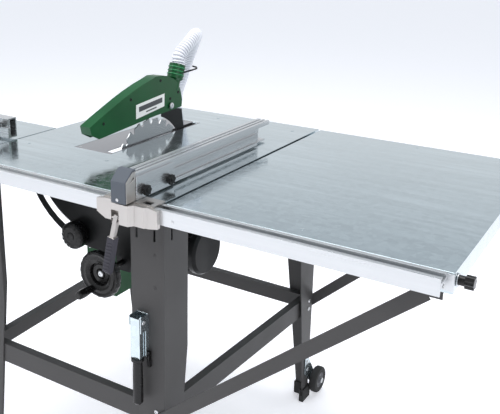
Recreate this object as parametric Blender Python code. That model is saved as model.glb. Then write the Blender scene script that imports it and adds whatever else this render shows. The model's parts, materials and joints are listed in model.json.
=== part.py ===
"""Site table saw with sliding table, right-hand extension table, rip fence and blade guard.

Every size below is in millimetres and is turned into metres where a mesh is made.
Layout axes: +X to the operator's right, +Y away from the operator, +Z up, floor at zero.
The saw blade stands in the plane x = 0 and the front face of the fence rail is y = 0.
main() moves the finished machine so that the middle of its footprint is at the origin.
"""
import math

import bmesh
import bpy
from mathutils import Matrix, Vector

MM = 0.001
GAP = 0.3                      # clearance between neighbouring solids
FOOTPRINT_CENTRE = (105.0, 312.5)

# driving dimensions
TOP = 880.0                    # height of the table surface
SHEET = 3.0                    # table sheet
RIM = 40.0                     # depth of a table's folded rim
MAIN_X = (-287.0, 335.0)
MAIN_Y = (36.0, 800.0)
EXTENSION_X = (343.0, 940.0)
EXTENSION_Y = (36.0, 795.0)
INSERT_X = (-112.0, 10.0)
INSERT_Y = (251.0, 665.0)
RAIL_DEPTH = 35.0
RAIL_HEIGHT = 33.0
RAIL_END = 927.0
LEG_FRONT = (-292.0, 318.0, 60.0)     # outer corner x left, x right, y
LEG_REAR = (-324.0, 350.0, 785.0)
LEG_WIDTH = 92.0
LEG_SHEET = 3.0
FOOT_HEIGHT = 22.0
BRACE_Z = 333.0                # middle height of the lower braces
BRACE_DEPTH = 54.0
TILT_RADIUS = 213.0            # tilt knob's distance from the tilt axis
TILT_ANGLE = 13.5              # degrees left of straight down at rest
PINION_TEETH = 12              # tilt pinion, on the tilt knob's shaft
SECTOR_TEETH = 266             # whole circle of the toothed arc that it rolls along
SECTOR_ROOT = 202.0
SECTOR_TIP = 204.7
LIFT_PINION_TEETH = 14
RACK_PITCH = 2 * math.pi * 10.0 / LIFT_PINION_TEETH    # lift pinion's rolling radius is 10
BLADE_RADIUS = 157.5
BLADE_Y = 425.0
BLADE_Z = TOP - 100.0
BLADE_TEETH = 24
WHEEL_AXIS = (80.0, TOP - 262.0)      # lift handwheel, x and z
GUARD_PIVOT = (502.6, TOP + 82.0)     # y and z
GUARD_X = (-17.0, 15.0)
FENCE_X = (246.0, 282.0)
FENCE_LEVER = (258.0, -22.0, TOP - 31.0)
FENCE_LEVER_LEAN = 9.0         # degrees to the left, downwards
LEG_LEVER = (258.0, 38.0, TOP - 296.0)
CASTER_AXIS = (815.0, 50.0)           # y and z
CASTER_RADIUS = 42.0
CRANK_AXIS = (WHEEL_AXIS[0] - 20.0, WHEEL_AXIS[1] - 40.0)
MOTOR_AXIS = (385.0, TOP - 262.0)     # y and z
PULLEY_X = 70.0
KNOB_FRONT_AXIS = (33.0, TOP + 22.0)
KNOB_REAR_AXIS = (120.0, TOP + 22.0)
RAIL_KNOB_AXIS = (58.0, TOP - 20.0)
COLLAR_BASE = (-1.0, 541.0, TOP + 134.0)
COLLAR_LEAN = -20.0
COLLAR_HEIGHT = 58.0
SLIDE_X = (-592.0, -291.0)
SLIDE_Y = (-232.0, 368.0)
GUIDE_Z = TOP - 74.0
CROSS_PIVOT = (-420.0, 213.0)
CROSS_KNOB_AXIS = (-332.0, TOP + 37.0)
TRIGGER_AXIS = (LEG_LEVER[0] + 21.5, LEG_FRONT[2] - 8.0, LEG_LEVER[2] - 84.0)
SWITCH_AT = (-246.0, LEG_FRONT[2] - 1.0, TOP - 190.0)


# ---------------------------------------------------------------- tools

def clear_scene():
    for obj in list(bpy.data.objects):
        bpy.data.objects.remove(obj, do_unlink=True)


def make_material(name, colour, roughness, metallic=0.0):
    material = bpy.data.materials.new(name)
    material.use_nodes = True
    shader = material.node_tree.nodes["Principled BSDF"]
    shader.inputs["Base Color"].default_value = (*colour, 1.0)
    shader.inputs["Roughness"].default_value = roughness
    shader.inputs["Metallic"].default_value = metallic
    material.diffuse_color = (*colour, 1.0)
    return material


def empty(name, at, parent=None):
    """An unseen pivot whose origin lies on a joint's axis."""
    pivot = bpy.data.objects.new(name, None)
    bpy.context.collection.objects.link(pivot)
    base = Vector(parent["pivot"]) if parent else Vector((0, 0, 0))
    pivot["pivot"] = Vector(at)
    pivot.location = (Vector(at) - base) * MM
    pivot.parent = parent
    return pivot


def place(name, bm, body, material, smooth=True):
    """Turn a bmesh in layout millimetres into an object hung on its body's pivot."""
    corners = [vert.co for vert in bm.verts]
    low = Vector([min(co[axis] for co in corners) for axis in range(3)])
    high = Vector([max(co[axis] for co in corners) for axis in range(3)])
    middle = (low + high) / 2
    bmesh.ops.translate(bm, verts=bm.verts, vec=-middle)
    bmesh.ops.scale(bm, verts=bm.verts, vec=(MM, MM, MM))
    bmesh.ops.recalc_face_normals(bm, faces=bm.faces)
    mesh = bpy.data.meshes.new(name)
    bm.to_mesh(mesh)
    bm.free()
    if smooth:
        mesh.shade_smooth()
        mesh.set_sharp_from_angle(angle=math.radians(35))
    if material:
        mesh.materials.append(material)
    obj = bpy.data.objects.new(name, mesh)
    bpy.context.collection.objects.link(obj)
    base = Vector(body["pivot"]) if body else Vector((0, 0, 0))
    obj.location = (middle - base) * MM
    obj.parent = body
    return obj


def boolean(obj, bm, operation):
    """Join or cut an object with a second shape, kept as a hidden guide."""
    tag = "add" if operation == "UNION" else "cut"
    guide = place(f"{obj.name}__{tag}{len(obj.modifiers)}", bm, obj.parent, None, smooth=False)
    guide.hide_render = True
    guide.display_type = "WIRE"
    modifier = obj.modifiers.new(guide.name, "BOOLEAN")
    modifier.operation = operation
    modifier.solver = "EXACT"
    modifier.object = guide


def add(obj, *shapes):
    for shape in shapes:
        boolean(obj, shape, "UNION")
    return obj


def cut(obj, *shapes):
    for shape in shapes:
        boolean(obj, shape, "DIFFERENCE")
    return obj


def box(low, high):
    bm = bmesh.new()
    bmesh.ops.create_cube(bm, size=1.0)
    low, high = Vector(low), Vector(high)
    bmesh.ops.scale(bm, verts=bm.verts, vec=high - low)
    bmesh.ops.translate(bm, verts=bm.verts, vec=(low + high) / 2)
    return bm


def merged(*shapes):
    """One bmesh holding several closed shapes that do not touch, for a single Boolean."""
    result = bmesh.new()
    for shape in shapes:
        mesh = bpy.data.meshes.new("merge")
        shape.to_mesh(mesh)
        shape.free()
        result.from_mesh(mesh)
        bpy.data.meshes.remove(mesh)
    return result


def to_layout(axis, u, v, w):
    """A point from a drawing plane: axis X takes (y, z), Y takes (x, z), Z takes (x, y)."""
    return {"X": (w, u, v), "Y": (u, w, v), "Z": (u, v, w)}[axis]


def prism(outline, axis, start, end):
    """Extrude a flat outline along an axis from start to end."""
    bm = bmesh.new()
    verts = [bm.verts.new(to_layout(axis, u, v, start)) for u, v in outline]
    face = bm.faces.new(verts)
    result = bmesh.ops.extrude_face_region(bm, geom=[face])
    moved = [item for item in result["geom"] if isinstance(item, bmesh.types.BMVert)]
    bmesh.ops.translate(bm, verts=moved, vec=to_layout(axis, 0, 0, end - start))
    return bm


def arc(centre, radius, start, end, steps):
    """Points on a circle, angles in degrees from +u towards +v."""
    angles = [math.radians(start + (end - start) * i / steps) for i in range(steps + 1)]
    return [(centre[0] + radius * math.cos(a), centre[1] + radius * math.sin(a)) for a in angles]


def cylinder(axis, centre, radius, start, end, sides=24):
    return prism(arc(centre, radius, 0, 360 * (sides - 1) / sides, sides - 1), axis, start, end)


def turned(axis, centre, profile, sides=32):
    """Turn a closed profile of (radius, position along the axis) about an axis."""
    bm = bmesh.new()
    rings = []
    for radius, along in profile:
        if radius == 0:
            rings.append([bm.verts.new(to_layout(axis, centre[0], centre[1], along))])
            continue
        ring = arc(centre, radius, 0, 360 * (sides - 1) / sides, sides - 1)
        rings.append([bm.verts.new(to_layout(axis, u, v, along)) for u, v in ring])
    closed = profile[0][0] > 0
    pairs = list(zip(rings, rings[1:])) + ([(rings[-1], rings[0])] if closed else [])
    for near, far in pairs:
        for i in range(sides):
            corner = (near[i % len(near)], near[(i + 1) % sides % len(near)],
                      far[(i + 1) % sides % len(far)], far[i % len(far)])
            corner = list(dict.fromkeys(corner))
            if len(corner) > 2:
                bm.faces.new(corner)
    return bm


def rotated(bm, angle, axis, about):
    bmesh.ops.rotate(bm, verts=bm.verts, cent=Vector(about),
                     matrix=Matrix.Rotation(math.radians(angle), 3, axis))
    return bm


def star(centre, radius, depth, lobes, turn=0.0):
    """Outline with lobes round the rim, as on a star knob or a pinion; turn is in degrees."""
    points = []
    count = lobes * 4
    for i in range(count):
        angle = 2 * math.pi * i / count + math.radians(turn)
        reach = radius - depth * (0.5 - 0.5 * math.cos(2 * math.pi * lobes * i / count))
        points.append((centre[0] + reach * math.cos(angle), centre[1] + reach * math.sin(angle)))
    return points


def beam(start, end, side, width, thickness):
    """A straight bar from start to end; side is the direction that width is measured in."""
    start, end, side = Vector(start), Vector(end), Vector(side).normalized()
    along = (end - start).normalized()
    normal = along.cross(side).normalized()
    side = normal.cross(along).normalized()
    bm = bmesh.new()
    ring = []
    for point in (start, end):
        for across, up in ((-1, -1), (1, -1), (1, 1), (-1, 1)):
            ring.append(bm.verts.new(point + side * across * width / 2 + normal * up * thickness / 2))
    bmesh.ops.convex_hull(bm, input=ring)
    return bm


# ---------------------------------------------------------------- tables and rails

def folded_table(name, x, y, material):
    """A sheet-steel table top with its rim folded down all round, open underneath."""
    table = place(name, box((x[0], y[0], TOP - RIM), (x[1], y[1], TOP)), FRAME, material)
    inner = box((x[0] + SHEET, y[0] + SHEET, TOP - RIM - 5), (x[1] - SHEET, y[1] - SHEET, TOP - SHEET))
    return cut(table, inner)


def make_tables():
    main = folded_table("main_table", MAIN_X, MAIN_Y, STEEL)
    lip = 8.0
    cut(main, box((INSERT_X[0] + lip, INSERT_Y[0] + lip, TOP - 20),
                  (INSERT_X[1] - 3, INSERT_Y[1] - lip, TOP + 5)))
    cut(main, box((INSERT_X[0] - GAP, INSERT_Y[0] - GAP, TOP - 1.5),
                  (INSERT_X[1] + GAP, INSERT_Y[1] + GAP, TOP + 5)))
    inside = (MAIN_X[0] + 1, MAIN_X[1] - 1)
    add(main, merged(box((inside[0], MAIN_Y[0] + 1, TOP - RIM), (inside[1], MAIN_Y[0] + 64, TOP - RIM + 3)),
                     box((inside[0], MAIN_Y[1] - 64, TOP - RIM), (inside[1], MAIN_Y[1] - 1, TOP - RIM + 3))))
    folded_table("extension_table", EXTENSION_X, EXTENSION_Y, STEEL)
    insert = place("table_insert", box((INSERT_X[0], INSERT_Y[0], TOP - 1.2),
                                       (INSERT_X[1], INSERT_Y[1], TOP - 0.1)), FRAME, INSERT_GREY)
    cut(insert, box((-14, INSERT_Y[0] + 15, TOP - 10), (6, INSERT_Y[1] - 5, TOP + 10)))


def rail_outline():
    """Section of the fence rail: hollow box with an open slot between two lips on top."""
    depth, height, wall = RAIL_DEPTH, RAIL_HEIGHT, 2.5
    top, base = TOP, TOP - height
    lip, floor = 10.0, TOP - 9.0
    return [(0, top), (0, base), (wall, base), (wall, floor - wall), (depth - wall, floor - wall),
            (depth - wall, base), (depth, base), (depth, top), (depth - lip, top),
            (depth - lip, top - wall), (depth - wall, top - wall), (depth - wall, floor),
            (wall, floor), (wall, top - wall), (lip, top - wall), (lip, top)]


def make_rails():
    place("front_rail", prism(rail_outline(), "X", MAIN_X[0], EXTENSION_X[0] - 4), FRAME, ALUMINIUM)
    end_plate = box((RAIL_END - 2, RAIL_DEPTH - 2, TOP - 34), (RAIL_END + 14, RAIL_DEPTH + 0.6, TOP - 2))
    rail = place("extension_rail", prism(rail_outline(), "X", EXTENSION_X[0] - 3, RAIL_END),
                 FRAME, ALUMINIUM)
    add(rail, end_plate)


def make_rail_knob():
    x = EXTENSION_X[1]
    axis = RAIL_KNOB_AXIS
    knob = place("rail_end_knob", prism(star(axis, 12.5, 3.0, 6), "X", x + 14, x + 30),
                 RAIL_KNOB, BLACK_PLASTIC)
    add(knob, cylinder("X", axis, 9, x + GAP, x + 15, 16))


# ---------------------------------------------------------------- legs and braces

def leg_outline(side):
    """Flat pattern of one flange, (distance from the corner, height), narrower below."""
    foot = LEG_WIDTH * 0.42
    return [(0, FOOT_HEIGHT), (side * foot, FOOT_HEIGHT), (side * LEG_WIDTH, TOP * 0.55),
            (side * LEG_WIDTH, TOP - RIM - GAP), (0, TOP - RIM - GAP)]


def make_leg(name, corner_x, corner_y, toward_x, toward_y):
    """A leg folded from sheet: a front flange and a side flange that meet at the outer corner."""
    flange = [(corner_x + u, v) for u, v in leg_outline(toward_x)]
    leg = place(name, prism(flange, "Y", corner_y, corner_y + toward_y * LEG_SHEET), FRAME, LEG_GREY)
    side = [(corner_y + u, v) for u, v in leg_outline(toward_y)]
    add(leg, prism(side, "X", corner_x, corner_x + toward_x * LEG_SHEET))
    slots = []
    for across in (26.0, 75.0):
        x = corner_x + toward_x * across
        y = corner_y
        slots.append(box((x - 3, y - 9, TOP - 106), (x + 3, y + 9, TOP - 78)))
    y = corner_y + toward_y * 30
    slots.append(box((corner_x - 9, y - 3, TOP - 106), (corner_x + 9, y + 3, TOP - 78)))
    for drop in (138.0, 217.0):
        slots.append(cylinder("Y", (corner_x + toward_x * 26, TOP - drop), 3.0,
                              corner_y - 9, corner_y + 9, 12))
    cut(leg, merged(*slots))
    return leg


def make_foot(name, corner_x, corner_y, toward_x, toward_y):
    """Rubber shoe under a leg: a flared base with an angled socket around the sheet."""
    reach = LEG_WIDTH * 0.42 + 6
    wall = 6.0
    outer = -wall
    outline = [(outer, outer), (reach, outer), (reach, wall + LEG_SHEET), (wall + LEG_SHEET, wall + LEG_SHEET),
               (wall + LEG_SHEET, reach), (outer, reach)]

    def corner(points):
        return [(corner_x + toward_x * u, corner_y + toward_y * v) for u, v in points]

    foot = place(name, prism(corner(outline), "Z", 0, FOOT_HEIGHT + 20), FRAME, RUBBER)
    width = LEG_WIDTH * 0.42 + 12
    play = 0.4
    slot = [(-play, -play), (width, -play), (width, LEG_SHEET + play), (LEG_SHEET + play, LEG_SHEET + play),
            (LEG_SHEET + play, width), (-play, width)]
    return cut(foot, prism(corner(slot), "Z", FOOT_HEIGHT - GAP, FOOT_HEIGHT + 40))


def make_legs():
    corners = {
        "front_left": (LEG_FRONT[0], LEG_FRONT[2], 1, 1),
        "front_right": (LEG_FRONT[1], LEG_FRONT[2], -1, 1),
        "rear_left": (LEG_REAR[0], LEG_REAR[2], 1, -1),
        "rear_right": (LEG_REAR[1], LEG_REAR[2], -1, -1),
    }
    for place_name, corner in corners.items():
        make_leg(f"leg_{place_name}", *corner)
        make_foot(f"foot_{place_name}", *corner)


def angle_bar(name, start, end, side, turn, width=BRACE_DEPTH, fold=22.0):
    """An angle-section bar: a tall web and a flange folded over at its upper edge."""
    start, end, side, turn = Vector(start), Vector(end), Vector(side), Vector(turn)
    sheet = 2.5
    bar = place(name, beam(start, end, side, width, sheet), FRAME, LEG_GREY)
    shift = side.normalized() * (width / 2 - sheet / 2) + turn.normalized() * (fold / 2 - sheet / 2)
    return add(bar, beam(start + shift, end + shift, turn, fold, sheet))


def make_braces():
    up = (0, 0, 1)
    left, right = LEG_FRONT[0], LEG_FRONT[1]
    inset = LEG_SHEET + 2.0
    front_y = LEG_FRONT[2] + inset
    rear_y = LEG_REAR[2] - inset
    side_in = 12.0
    angle_bar("brace_front", (left + side_in, front_y, BRACE_Z), (right - side_in, front_y, BRACE_Z),
              up, (0, 1, 0))
    angle_bar("brace_rear", (LEG_REAR[0] + side_in, rear_y, BRACE_Z),
              (LEG_REAR[1] - side_in, rear_y, BRACE_Z), up, (0, -1, 0))
    start_y = LEG_FRONT[2] + 36.0
    end_y = LEG_REAR[2] - 36.0
    inset += 3.0
    angle_bar("brace_left", (left + inset, start_y, BRACE_Z), (LEG_REAR[0] + inset, end_y, BRACE_Z),
              up, (1, 0, 0))
    angle_bar("brace_right", (right - inset, start_y, BRACE_Z), (LEG_REAR[1] - inset, end_y, BRACE_Z),
              up, (-1, 0, 0))


def make_struts():
    """Diagonal bars that carry the outer end of the extension table."""
    foot = Vector((LEG_FRONT[1] + 3, LEG_FRONT[2] - 3, BRACE_Z + 10))
    head = Vector((892, EXTENSION_Y[0] + 9, TOP - 52))
    make_strut("strut_front", foot, head, -1)
    foot = Vector((LEG_REAR[1] + 3, LEG_REAR[2] + 3, BRACE_Z + 10))
    head = Vector((892, EXTENSION_Y[1] - 9, TOP - 52))
    make_strut("strut_rear", foot, head, 1)


def make_strut(name, foot, head, outward):
    slope = (head - foot).normalized()
    side = Vector((-slope.z, 0, slope.x))
    strut = place(name, beam(foot + Vector((-34, 0, -34 * slope.z / slope.x)), head, side, 30, 3),
                  FRAME, LEG_GREY)
    tab = box((head.x - 14, head.y - 1.5, head.z - 6), (head.x + 30, head.y + 1.5, TOP - SHEET - 1))
    return add(strut, tab)


def make_caster(side, corner_x, toward_x, pivot):
    """Sheet bracket on the outside of a rear leg with a wheel that clears the floor by 8 mm."""
    y, z = CASTER_AXIS
    near, far = corner_x - toward_x * 1.0, corner_x - toward_x * 4.0
    outline = [(LEG_REAR[2] - 34, 150), (LEG_REAR[2] - 34, 96), (y - 12, z - 12), (y + 12, z - 12),
               (y + 12, z + 12), (LEG_REAR[2] - 14, 150)]
    bracket = place(f"caster_bracket_{side}", prism(outline, "X", near, far), FRAME, STEEL)
    pin = cylinder("X", (y, z), 6, corner_x - toward_x * 2.0, corner_x - toward_x * 34.0, 16)
    add(bracket, pin)
    start, end = corner_x - toward_x * 7.0, corner_x - toward_x * 31.0
    rim = CASTER_RADIUS
    low, high = min(start, end), max(start, end)
    profile = [(rim - 4, low), (rim, low + 4), (rim, high - 4), (rim - 4, high), (6.4, high), (6.4, low)]
    place(f"wheel_{side}", turned("X", (y, z), profile, 32), pivot, RUBBER)


# ---------------------------------------------------------------- tilting and lifting unit

def polar(radius, angle):
    """Point at an angle left of straight down from the tilt axis."""
    a = math.radians(angle)
    return (-radius * math.sin(a), TOP - radius * math.cos(a))


def polar_arc(radius, start, end, steps):
    return [polar(radius, start + (end - start) * i / steps) for i in range(steps + 1)]


def toothed_arc(teeth):
    """Teeth of the tilt sector, with a gap between two teeth under the pinion at rest."""
    step = 360.0 / SECTOR_TEETH
    points = []
    for i in range(-3, teeth - 3):
        middle = TILT_ANGLE + (i + 0.5) * step
        points += [polar(SECTOR_ROOT, middle - step * 0.30), polar(SECTOR_TIP, middle - step * 0.08),
                   polar(SECTOR_TIP, middle + step * 0.08), polar(SECTOR_ROOT, middle + step * 0.30)]
    return points


def make_tilt_plates():
    """Fixed plates under the table with arc slots centred on the tilt axis."""
    hang = TOP - SHEET - 1
    band = TILT_RADIUS + 30
    outline = [(140, hang), (-246, hang)] + polar_arc(band, 66, 4, 10)
    outline += [(128, TOP - 245), (140, TOP - 200)]
    front = place("tilt_plate_front", prism(outline, "Y", 196, 200), FRAME, BLACK_STEEL)
    slot = toothed_arc(39) + polar_arc(TILT_RADIUS + 12, 62, 9.5, 8)
    cut(front, prism(slot, "Y", 190, 210))
    flange = box((-240, 196, hang - 4), (134, 216, hang))
    add(front, flange)
    outline = [(110, hang), (-175, hang)] + polar_arc(178, 68, -25, 10)
    rear = place("tilt_plate_rear", prism(outline, "Y", 672, 676), FRAME, BLACK_STEEL)
    slot = polar_arc(145, -6, 52, 12) + polar_arc(155, 52, -6, 12)
    cut(rear, prism(slot, "Y", 660, 690))
    add(rear, box((-165, 672, hang - 4), (104, 692, hang)))


def make_cradle():
    """Tilting frame: a front and a rear plate joined by two tie bars."""
    front = [(-52, TOP - 70), (-66, TOP - 90), (-70, TOP - 200), (-66, TOP - 230), (-54, TOP - 240),
             (58, TOP - 240), (62, TOP - 286), (102, TOP - 286), (110, TOP - 240), (110, TOP - 110),
             (60, TOP - 70)]
    cradle = place("tilt_cradle", prism(front, "Y", 206, 211), TILT, BLACK_STEEL)
    rear = [(-52, TOP - 70), (-68, TOP - 90), (-68, TOP - 240), (-46, TOP - 240), (-46, TOP - 196),
            (60, TOP - 196), (70, TOP - 110), (52, TOP - 70)]
    add(cradle, prism(rear, "Y", 655, 660))
    add(cradle, merged(cylinder("Y", (-58, TOP - 110), 6, 208, 657, 12),
                       cylinder("Y", (-58, TOP - 228), 6, 208, 657, 12)))
    add(cradle, cylinder("Y", (0, TOP - 150), 4.6, 656, 682, 12))
    knob_axis = polar(TILT_RADIUS, TILT_ANGLE)
    cut(cradle, merged(cylinder("Y", knob_axis, 5.5, 200, 220, 16),
                       cylinder("Y", WHEEL_AXIS, 7.5, 200, 220, 16)))


def make_tilt_knob():
    axis = polar(TILT_RADIUS, TILT_ANGLE)
    profile = [(0, 158), (24, 158), (26, 162), (34, 162), (36, 166), (36, 182), (33, 188), (14, 188),
               (14, 193), (0, 193)]
    knob = place("tilt_knob", turned("Y", axis, profile, 32), TILT_KNOB, BLACK_PLASTIC)
    add(knob, cylinder("Y", axis, 4.0, 190, 224, 12))
    towards_axis = 90.0 - TILT_ANGLE
    add(knob, prism(star(axis, 10.6, 3.0, PINION_TEETH, towards_axis), "Y", 192, 203))


def make_handwheel():
    x, z = WHEEL_AXIS
    profile = [(0, 122), (10, 122), (12, 126), (28, 126), (30, 117), (40, 112), (54, 113), (60, 119),
               (60, 127), (54, 132), (0, 132)]
    wheel = place("handwheel", turned("Y", (x, z), profile, 40), WHEEL, BLACK_PLASTIC)
    add(wheel, cylinder("Y", (x, z), 7.0, 128, 318.6, 20))
    add(wheel, prism(star((x, z), 11.0, 2.4, LIFT_PINION_TEETH), "Y", 300, 318))
    grip_axis = CRANK_AXIS
    cut(wheel, cylinder("Y", grip_axis, 4.0, 100, 140, 12))
    pin = [(0, 60), (8, 60), (10.5, 64), (11.5, 80), (9.5, 100), (8.5, 112 - GAP), (3.6, 112 - GAP),
           (3.6, 131), (0, 131)]
    place("crank_grip", turned("Y", grip_axis, pin, 20), CRANK, BLACK_PLASTIC)


def make_blade_case():
    """Sheet case round the lower half of the blade, with the dust hopper bolted below it."""
    top, split, base = TOP - 76, TOP - 240, TOP - 377
    y0, y1 = 222, 642
    case = place("blade_case", box((-44, y0, split + GAP), (44, y1, top)), LIFT, BLACK_STEEL)
    cut(case, box((-41.5, y0 + 2.5, split - 5), (41.5, y1 - 2.5, top + 5)))
    cut(case, cylinder("X", (BLADE_Y, BLADE_Z), 31, 30, 60, 24))
    rear = y1 - 2
    outline = [(y0 - 8, split), (y0 - 8, base + 8), (y0, base), (rear - 90, base),
               (rear, base + 40), (rear, split)]
    hopper = place("dust_hopper", prism(outline, "X", -46, 42), LIFT, GREEN)
    inner = [(y0 - 5.5, split + 5), (y0 - 5.5, base + 9), (y0 + 1, base + 2.5), (rear - 91, base + 2.5),
             (rear - 2.5, base + 41), (rear - 2.5, split + 5)]
    cut(hopper, prism(inner, "X", -43.5, 39.5))
    branch = (0.0, TOP - 264.0)
    outlet = (-2.0, TOP - 312.0)
    stubs = merged(cylinder("Y", branch, 19, rear - 1, rear + 50, 24),
                   cylinder("Y", outlet, 27, rear - 1, rear + 34, 24))
    add(hopper, stubs)
    cut(hopper, merged(cylinder("Y", branch, 16.5, rear - 6, rear + 60, 24),
                       cylinder("Y", outlet, 24.5, rear - 6, rear + 60, 24)))


def rack_outline(root_x):
    """Lift rack seen from the front, its teeth towards the pinion on its left."""
    teeth = 18
    outline = [(root_x, TOP - 322)]
    for i in range(-8, teeth - 8):
        middle = WHEEL_AXIS[1] + (i + 0.5) * RACK_PITCH
        outline += [(root_x, middle - RACK_PITCH * 0.27), (root_x - 2.2, middle - RACK_PITCH * 0.06),
                    (root_x - 2.2, middle + RACK_PITCH * 0.06), (root_x, middle + RACK_PITCH * 0.27)]
    return outline + [(root_x, TOP - 216), (root_x + 9, TOP - 216), (root_x + 9, TOP - 322)]


def make_drive():
    """Carriage, arbor, motor and belt on the right of the blade case."""
    plate = [(250, TOP - 300), (540, TOP - 300), (540, TOP - 70), (500, TOP - 58), (350, TOP - 58),
             (250, TOP - 110)]
    carriage = place("lift_carriage", prism(plate, "X", 46, 51), LIFT, BLACK_STEEL)
    add(carriage, cylinder("X", (BLADE_Y, BLADE_Z), 26, 18, 56, 32))
    shelf = box((50, 452, TOP - 320), (190, 458, TOP - 190))
    add(carriage, shelf)
    root_x = WHEEL_AXIS[0] + 11.4
    add(carriage, prism(rack_outline(root_x), "Y", 302, 318),
        box((50, 319, TOP - 217), (root_x + 9, 324, TOP - 205)),
        box((root_x + 2, 310, TOP - 218), (root_x + 9, 322, TOP - 208)))
    cut(carriage, cylinder("X", (BLADE_Y, BLADE_Z), 12.4, 0, 90, 24))
    arbor = place("arbor", cylinder("X", (BLADE_Y, BLADE_Z), 12.0, 10, 78, 24), ARBOR, STEEL)
    add(arbor, turned("X", (BLADE_Y, BLADE_Z), [(0, 2.0), (32, 2.0), (32, 7), (20, 14), (0, 14)], 32))
    add(arbor, turned("X", (BLADE_Y, BLADE_Z), [(0, 60), (24, 60), (24, 62), (21, 63), (21, 75), (24, 76),
                                                 (24, 78), (0, 78)], 32))
    add(arbor, cylinder("X", (BLADE_Y, BLADE_Z), 7.5, -18, 6, 20))
    add(arbor, turned("X", (BLADE_Y, BLADE_Z), [(0, -2.0), (32, -2.0), (32, -5), (22, -8), (0, -8)], 32))
    add(arbor, prism(arc((BLADE_Y, BLADE_Z), 15, 0, 300, 5), "X", -16, -7))


def make_motor():
    axis = MOTOR_AXIS
    profile = [(0, 84), (58, 84), (62, 90), (62, 196), (66, 198), (66, 214), (60, 222), (0, 226)]
    motor = place("motor", turned("X", axis, profile, 40), LIFT, BLACK_STEEL)
    add(motor, cylinder("X", axis, 24, 80, 86, 24))
    pulley = turned("X", axis, [(0, 60), (24, 60), (24, 62), (21, 63), (21, 75), (24, 76), (24, 78),
                                (9, 78), (9, 80 - GAP), (0, 80 - GAP)], 32)
    place("motor_pulley", pulley, PULLEY, STEEL)
    belt = place("drive_belt", belt_loop(23.4, 63.6, 74.4), LIFT, RUBBER)
    cut(belt, belt_loop(21.4, 60, 78))


def belt_loop(radius, start, end):
    """Prism round the two equal pulleys."""
    upper = (BLADE_Y, BLADE_Z)
    lower = MOTOR_AXIS
    lean = math.degrees(math.atan2(upper[1] - lower[1], upper[0] - lower[0]))
    outline = arc(upper, radius, lean - 90, lean + 90, 12) + arc(lower, radius, lean + 90, lean + 270, 12)
    return prism(outline, "X", start, end)


def make_blade():
    """Circular blade with carbide teeth standing at the gullets."""
    step = 360.0 / BLADE_TEETH
    outline = []
    for i in range(BLADE_TEETH):
        base = i * step
        centre = (BLADE_Y, BLADE_Z)
        outline += arc(centre, BLADE_RADIUS, base, base + step * 0.16, 1)
        outline += arc(centre, BLADE_RADIUS - 2.5, base + step * 0.30, base + step * 0.62, 1)
        outline += arc(centre, BLADE_RADIUS - 15, base + step * 0.74, base + step * 0.92, 1)
    blade = place("saw_blade", prism(outline, "X", -1.5, 1.5), ARBOR, BLADE_STEEL)
    return cut(blade, cylinder("X", (BLADE_Y, BLADE_Z), 8.0, -5, 5, 24))


def make_riving_knife():
    """Splitter behind the blade; its front edge follows the blade 5 mm away."""
    centre = (BLADE_Y, BLADE_Z)
    front = arc(centre, BLADE_RADIUS + 5, -12, 70, 10)
    outline = front + [(484, TOP + 94), (520, TOP + 98), (540, TOP + 66), (578, TOP + 58), (588, TOP),
                       (606, TOP - 134)]
    knife = place("riving_knife", prism(outline, "X", -1.25, 1.25), LIFT, BLACK_STEEL)
    add(knife, box((1.0, 588, TOP - 128), (41.0, 604, TOP - 104)))
    left, right = GUARD_X[0] - GAP, GUARD_X[1] + GAP
    bolt = [(0, left - 5), (8, left - 5), (8, left), (4.0, left), (4.0, right), (8, right),
            (8, right + 5), (0, right + 5)]
    return add(knife, turned("X", GUARD_PIVOT, bolt, 20))


# ---------------------------------------------------------------- guard and hose

def guard_outline():
    """Side view of the guard, (y, z), from the tip of its nose along the bottom and back over the top."""
    rise = [(173, 86), (178, 65), (206, 50), (434, 65.6), (558, 69.7), (560.5, 90), (551, 121), (538, 142),
            (520, 155), (494, 166), (468, 171), (440, 173), (412, 166), (380, 159), (334, 146),
            (295, 133), (251, 117), (209, 101)]
    return [(y, TOP + z) for y, z in rise]


def inset(outline, distance):
    """Move each corner of an anticlockwise outline inwards by a wall's thickness."""
    result = []
    for i, point in enumerate(outline):
        before = Vector(point) - Vector(outline[i - 1])
        after = Vector(outline[(i + 1) % len(outline)]) - Vector(point)
        normal = (Vector((-before.y, before.x)).normalized() + Vector((-after.y, after.x)).normalized())
        result.append(tuple(Vector(point) + normal.normalized() * distance))
    return result


def on_collar(shape):
    """Move a shape made round +Z at the origin to the hose collar."""
    bmesh.ops.translate(shape, verts=shape.verts, vec=Vector(COLLAR_BASE))
    return rotated(shape, COLLAR_LEAN, "X", COLLAR_BASE)


def make_guard():
    guard = place("guard_shell", prism(guard_outline(), "X", *GUARD_X), GUARD, GREEN)
    wall = 3.5
    roof = inset(guard_outline(), wall)
    hollow = [(182, TOP + 30), (554, TOP + 30)] + roof[5:] + roof[:1]
    cut(guard, prism(hollow, "X", GUARD_X[0] + wall, GUARD_X[1] - wall))
    collar = [(0, -16), (17, -16), (17, 12), (23, 18), (23, 26), (25, 28), (23, 30), (23, 36), (25, 38),
              (23, 40), (23, 46), (25, 48), (23, 50), (23, COLLAR_HEIGHT), (0, COLLAR_HEIGHT)]
    add(guard, on_collar(turned("Z", (0, 0), collar, 28)))
    cut(guard, on_collar(cylinder("Z", (0, 0), 13.0, -30, 60, 28)))
    cut(guard, on_collar(cylinder("Z", (0, 0), 19.5, 20, 70, 28)))
    cut(guard, box((-5, 540, TOP + 40), (5, 580, TOP + 112)))
    cut(guard, cylinder("X", GUARD_PIVOT, 4.4, -40, 40, 16))


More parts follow.
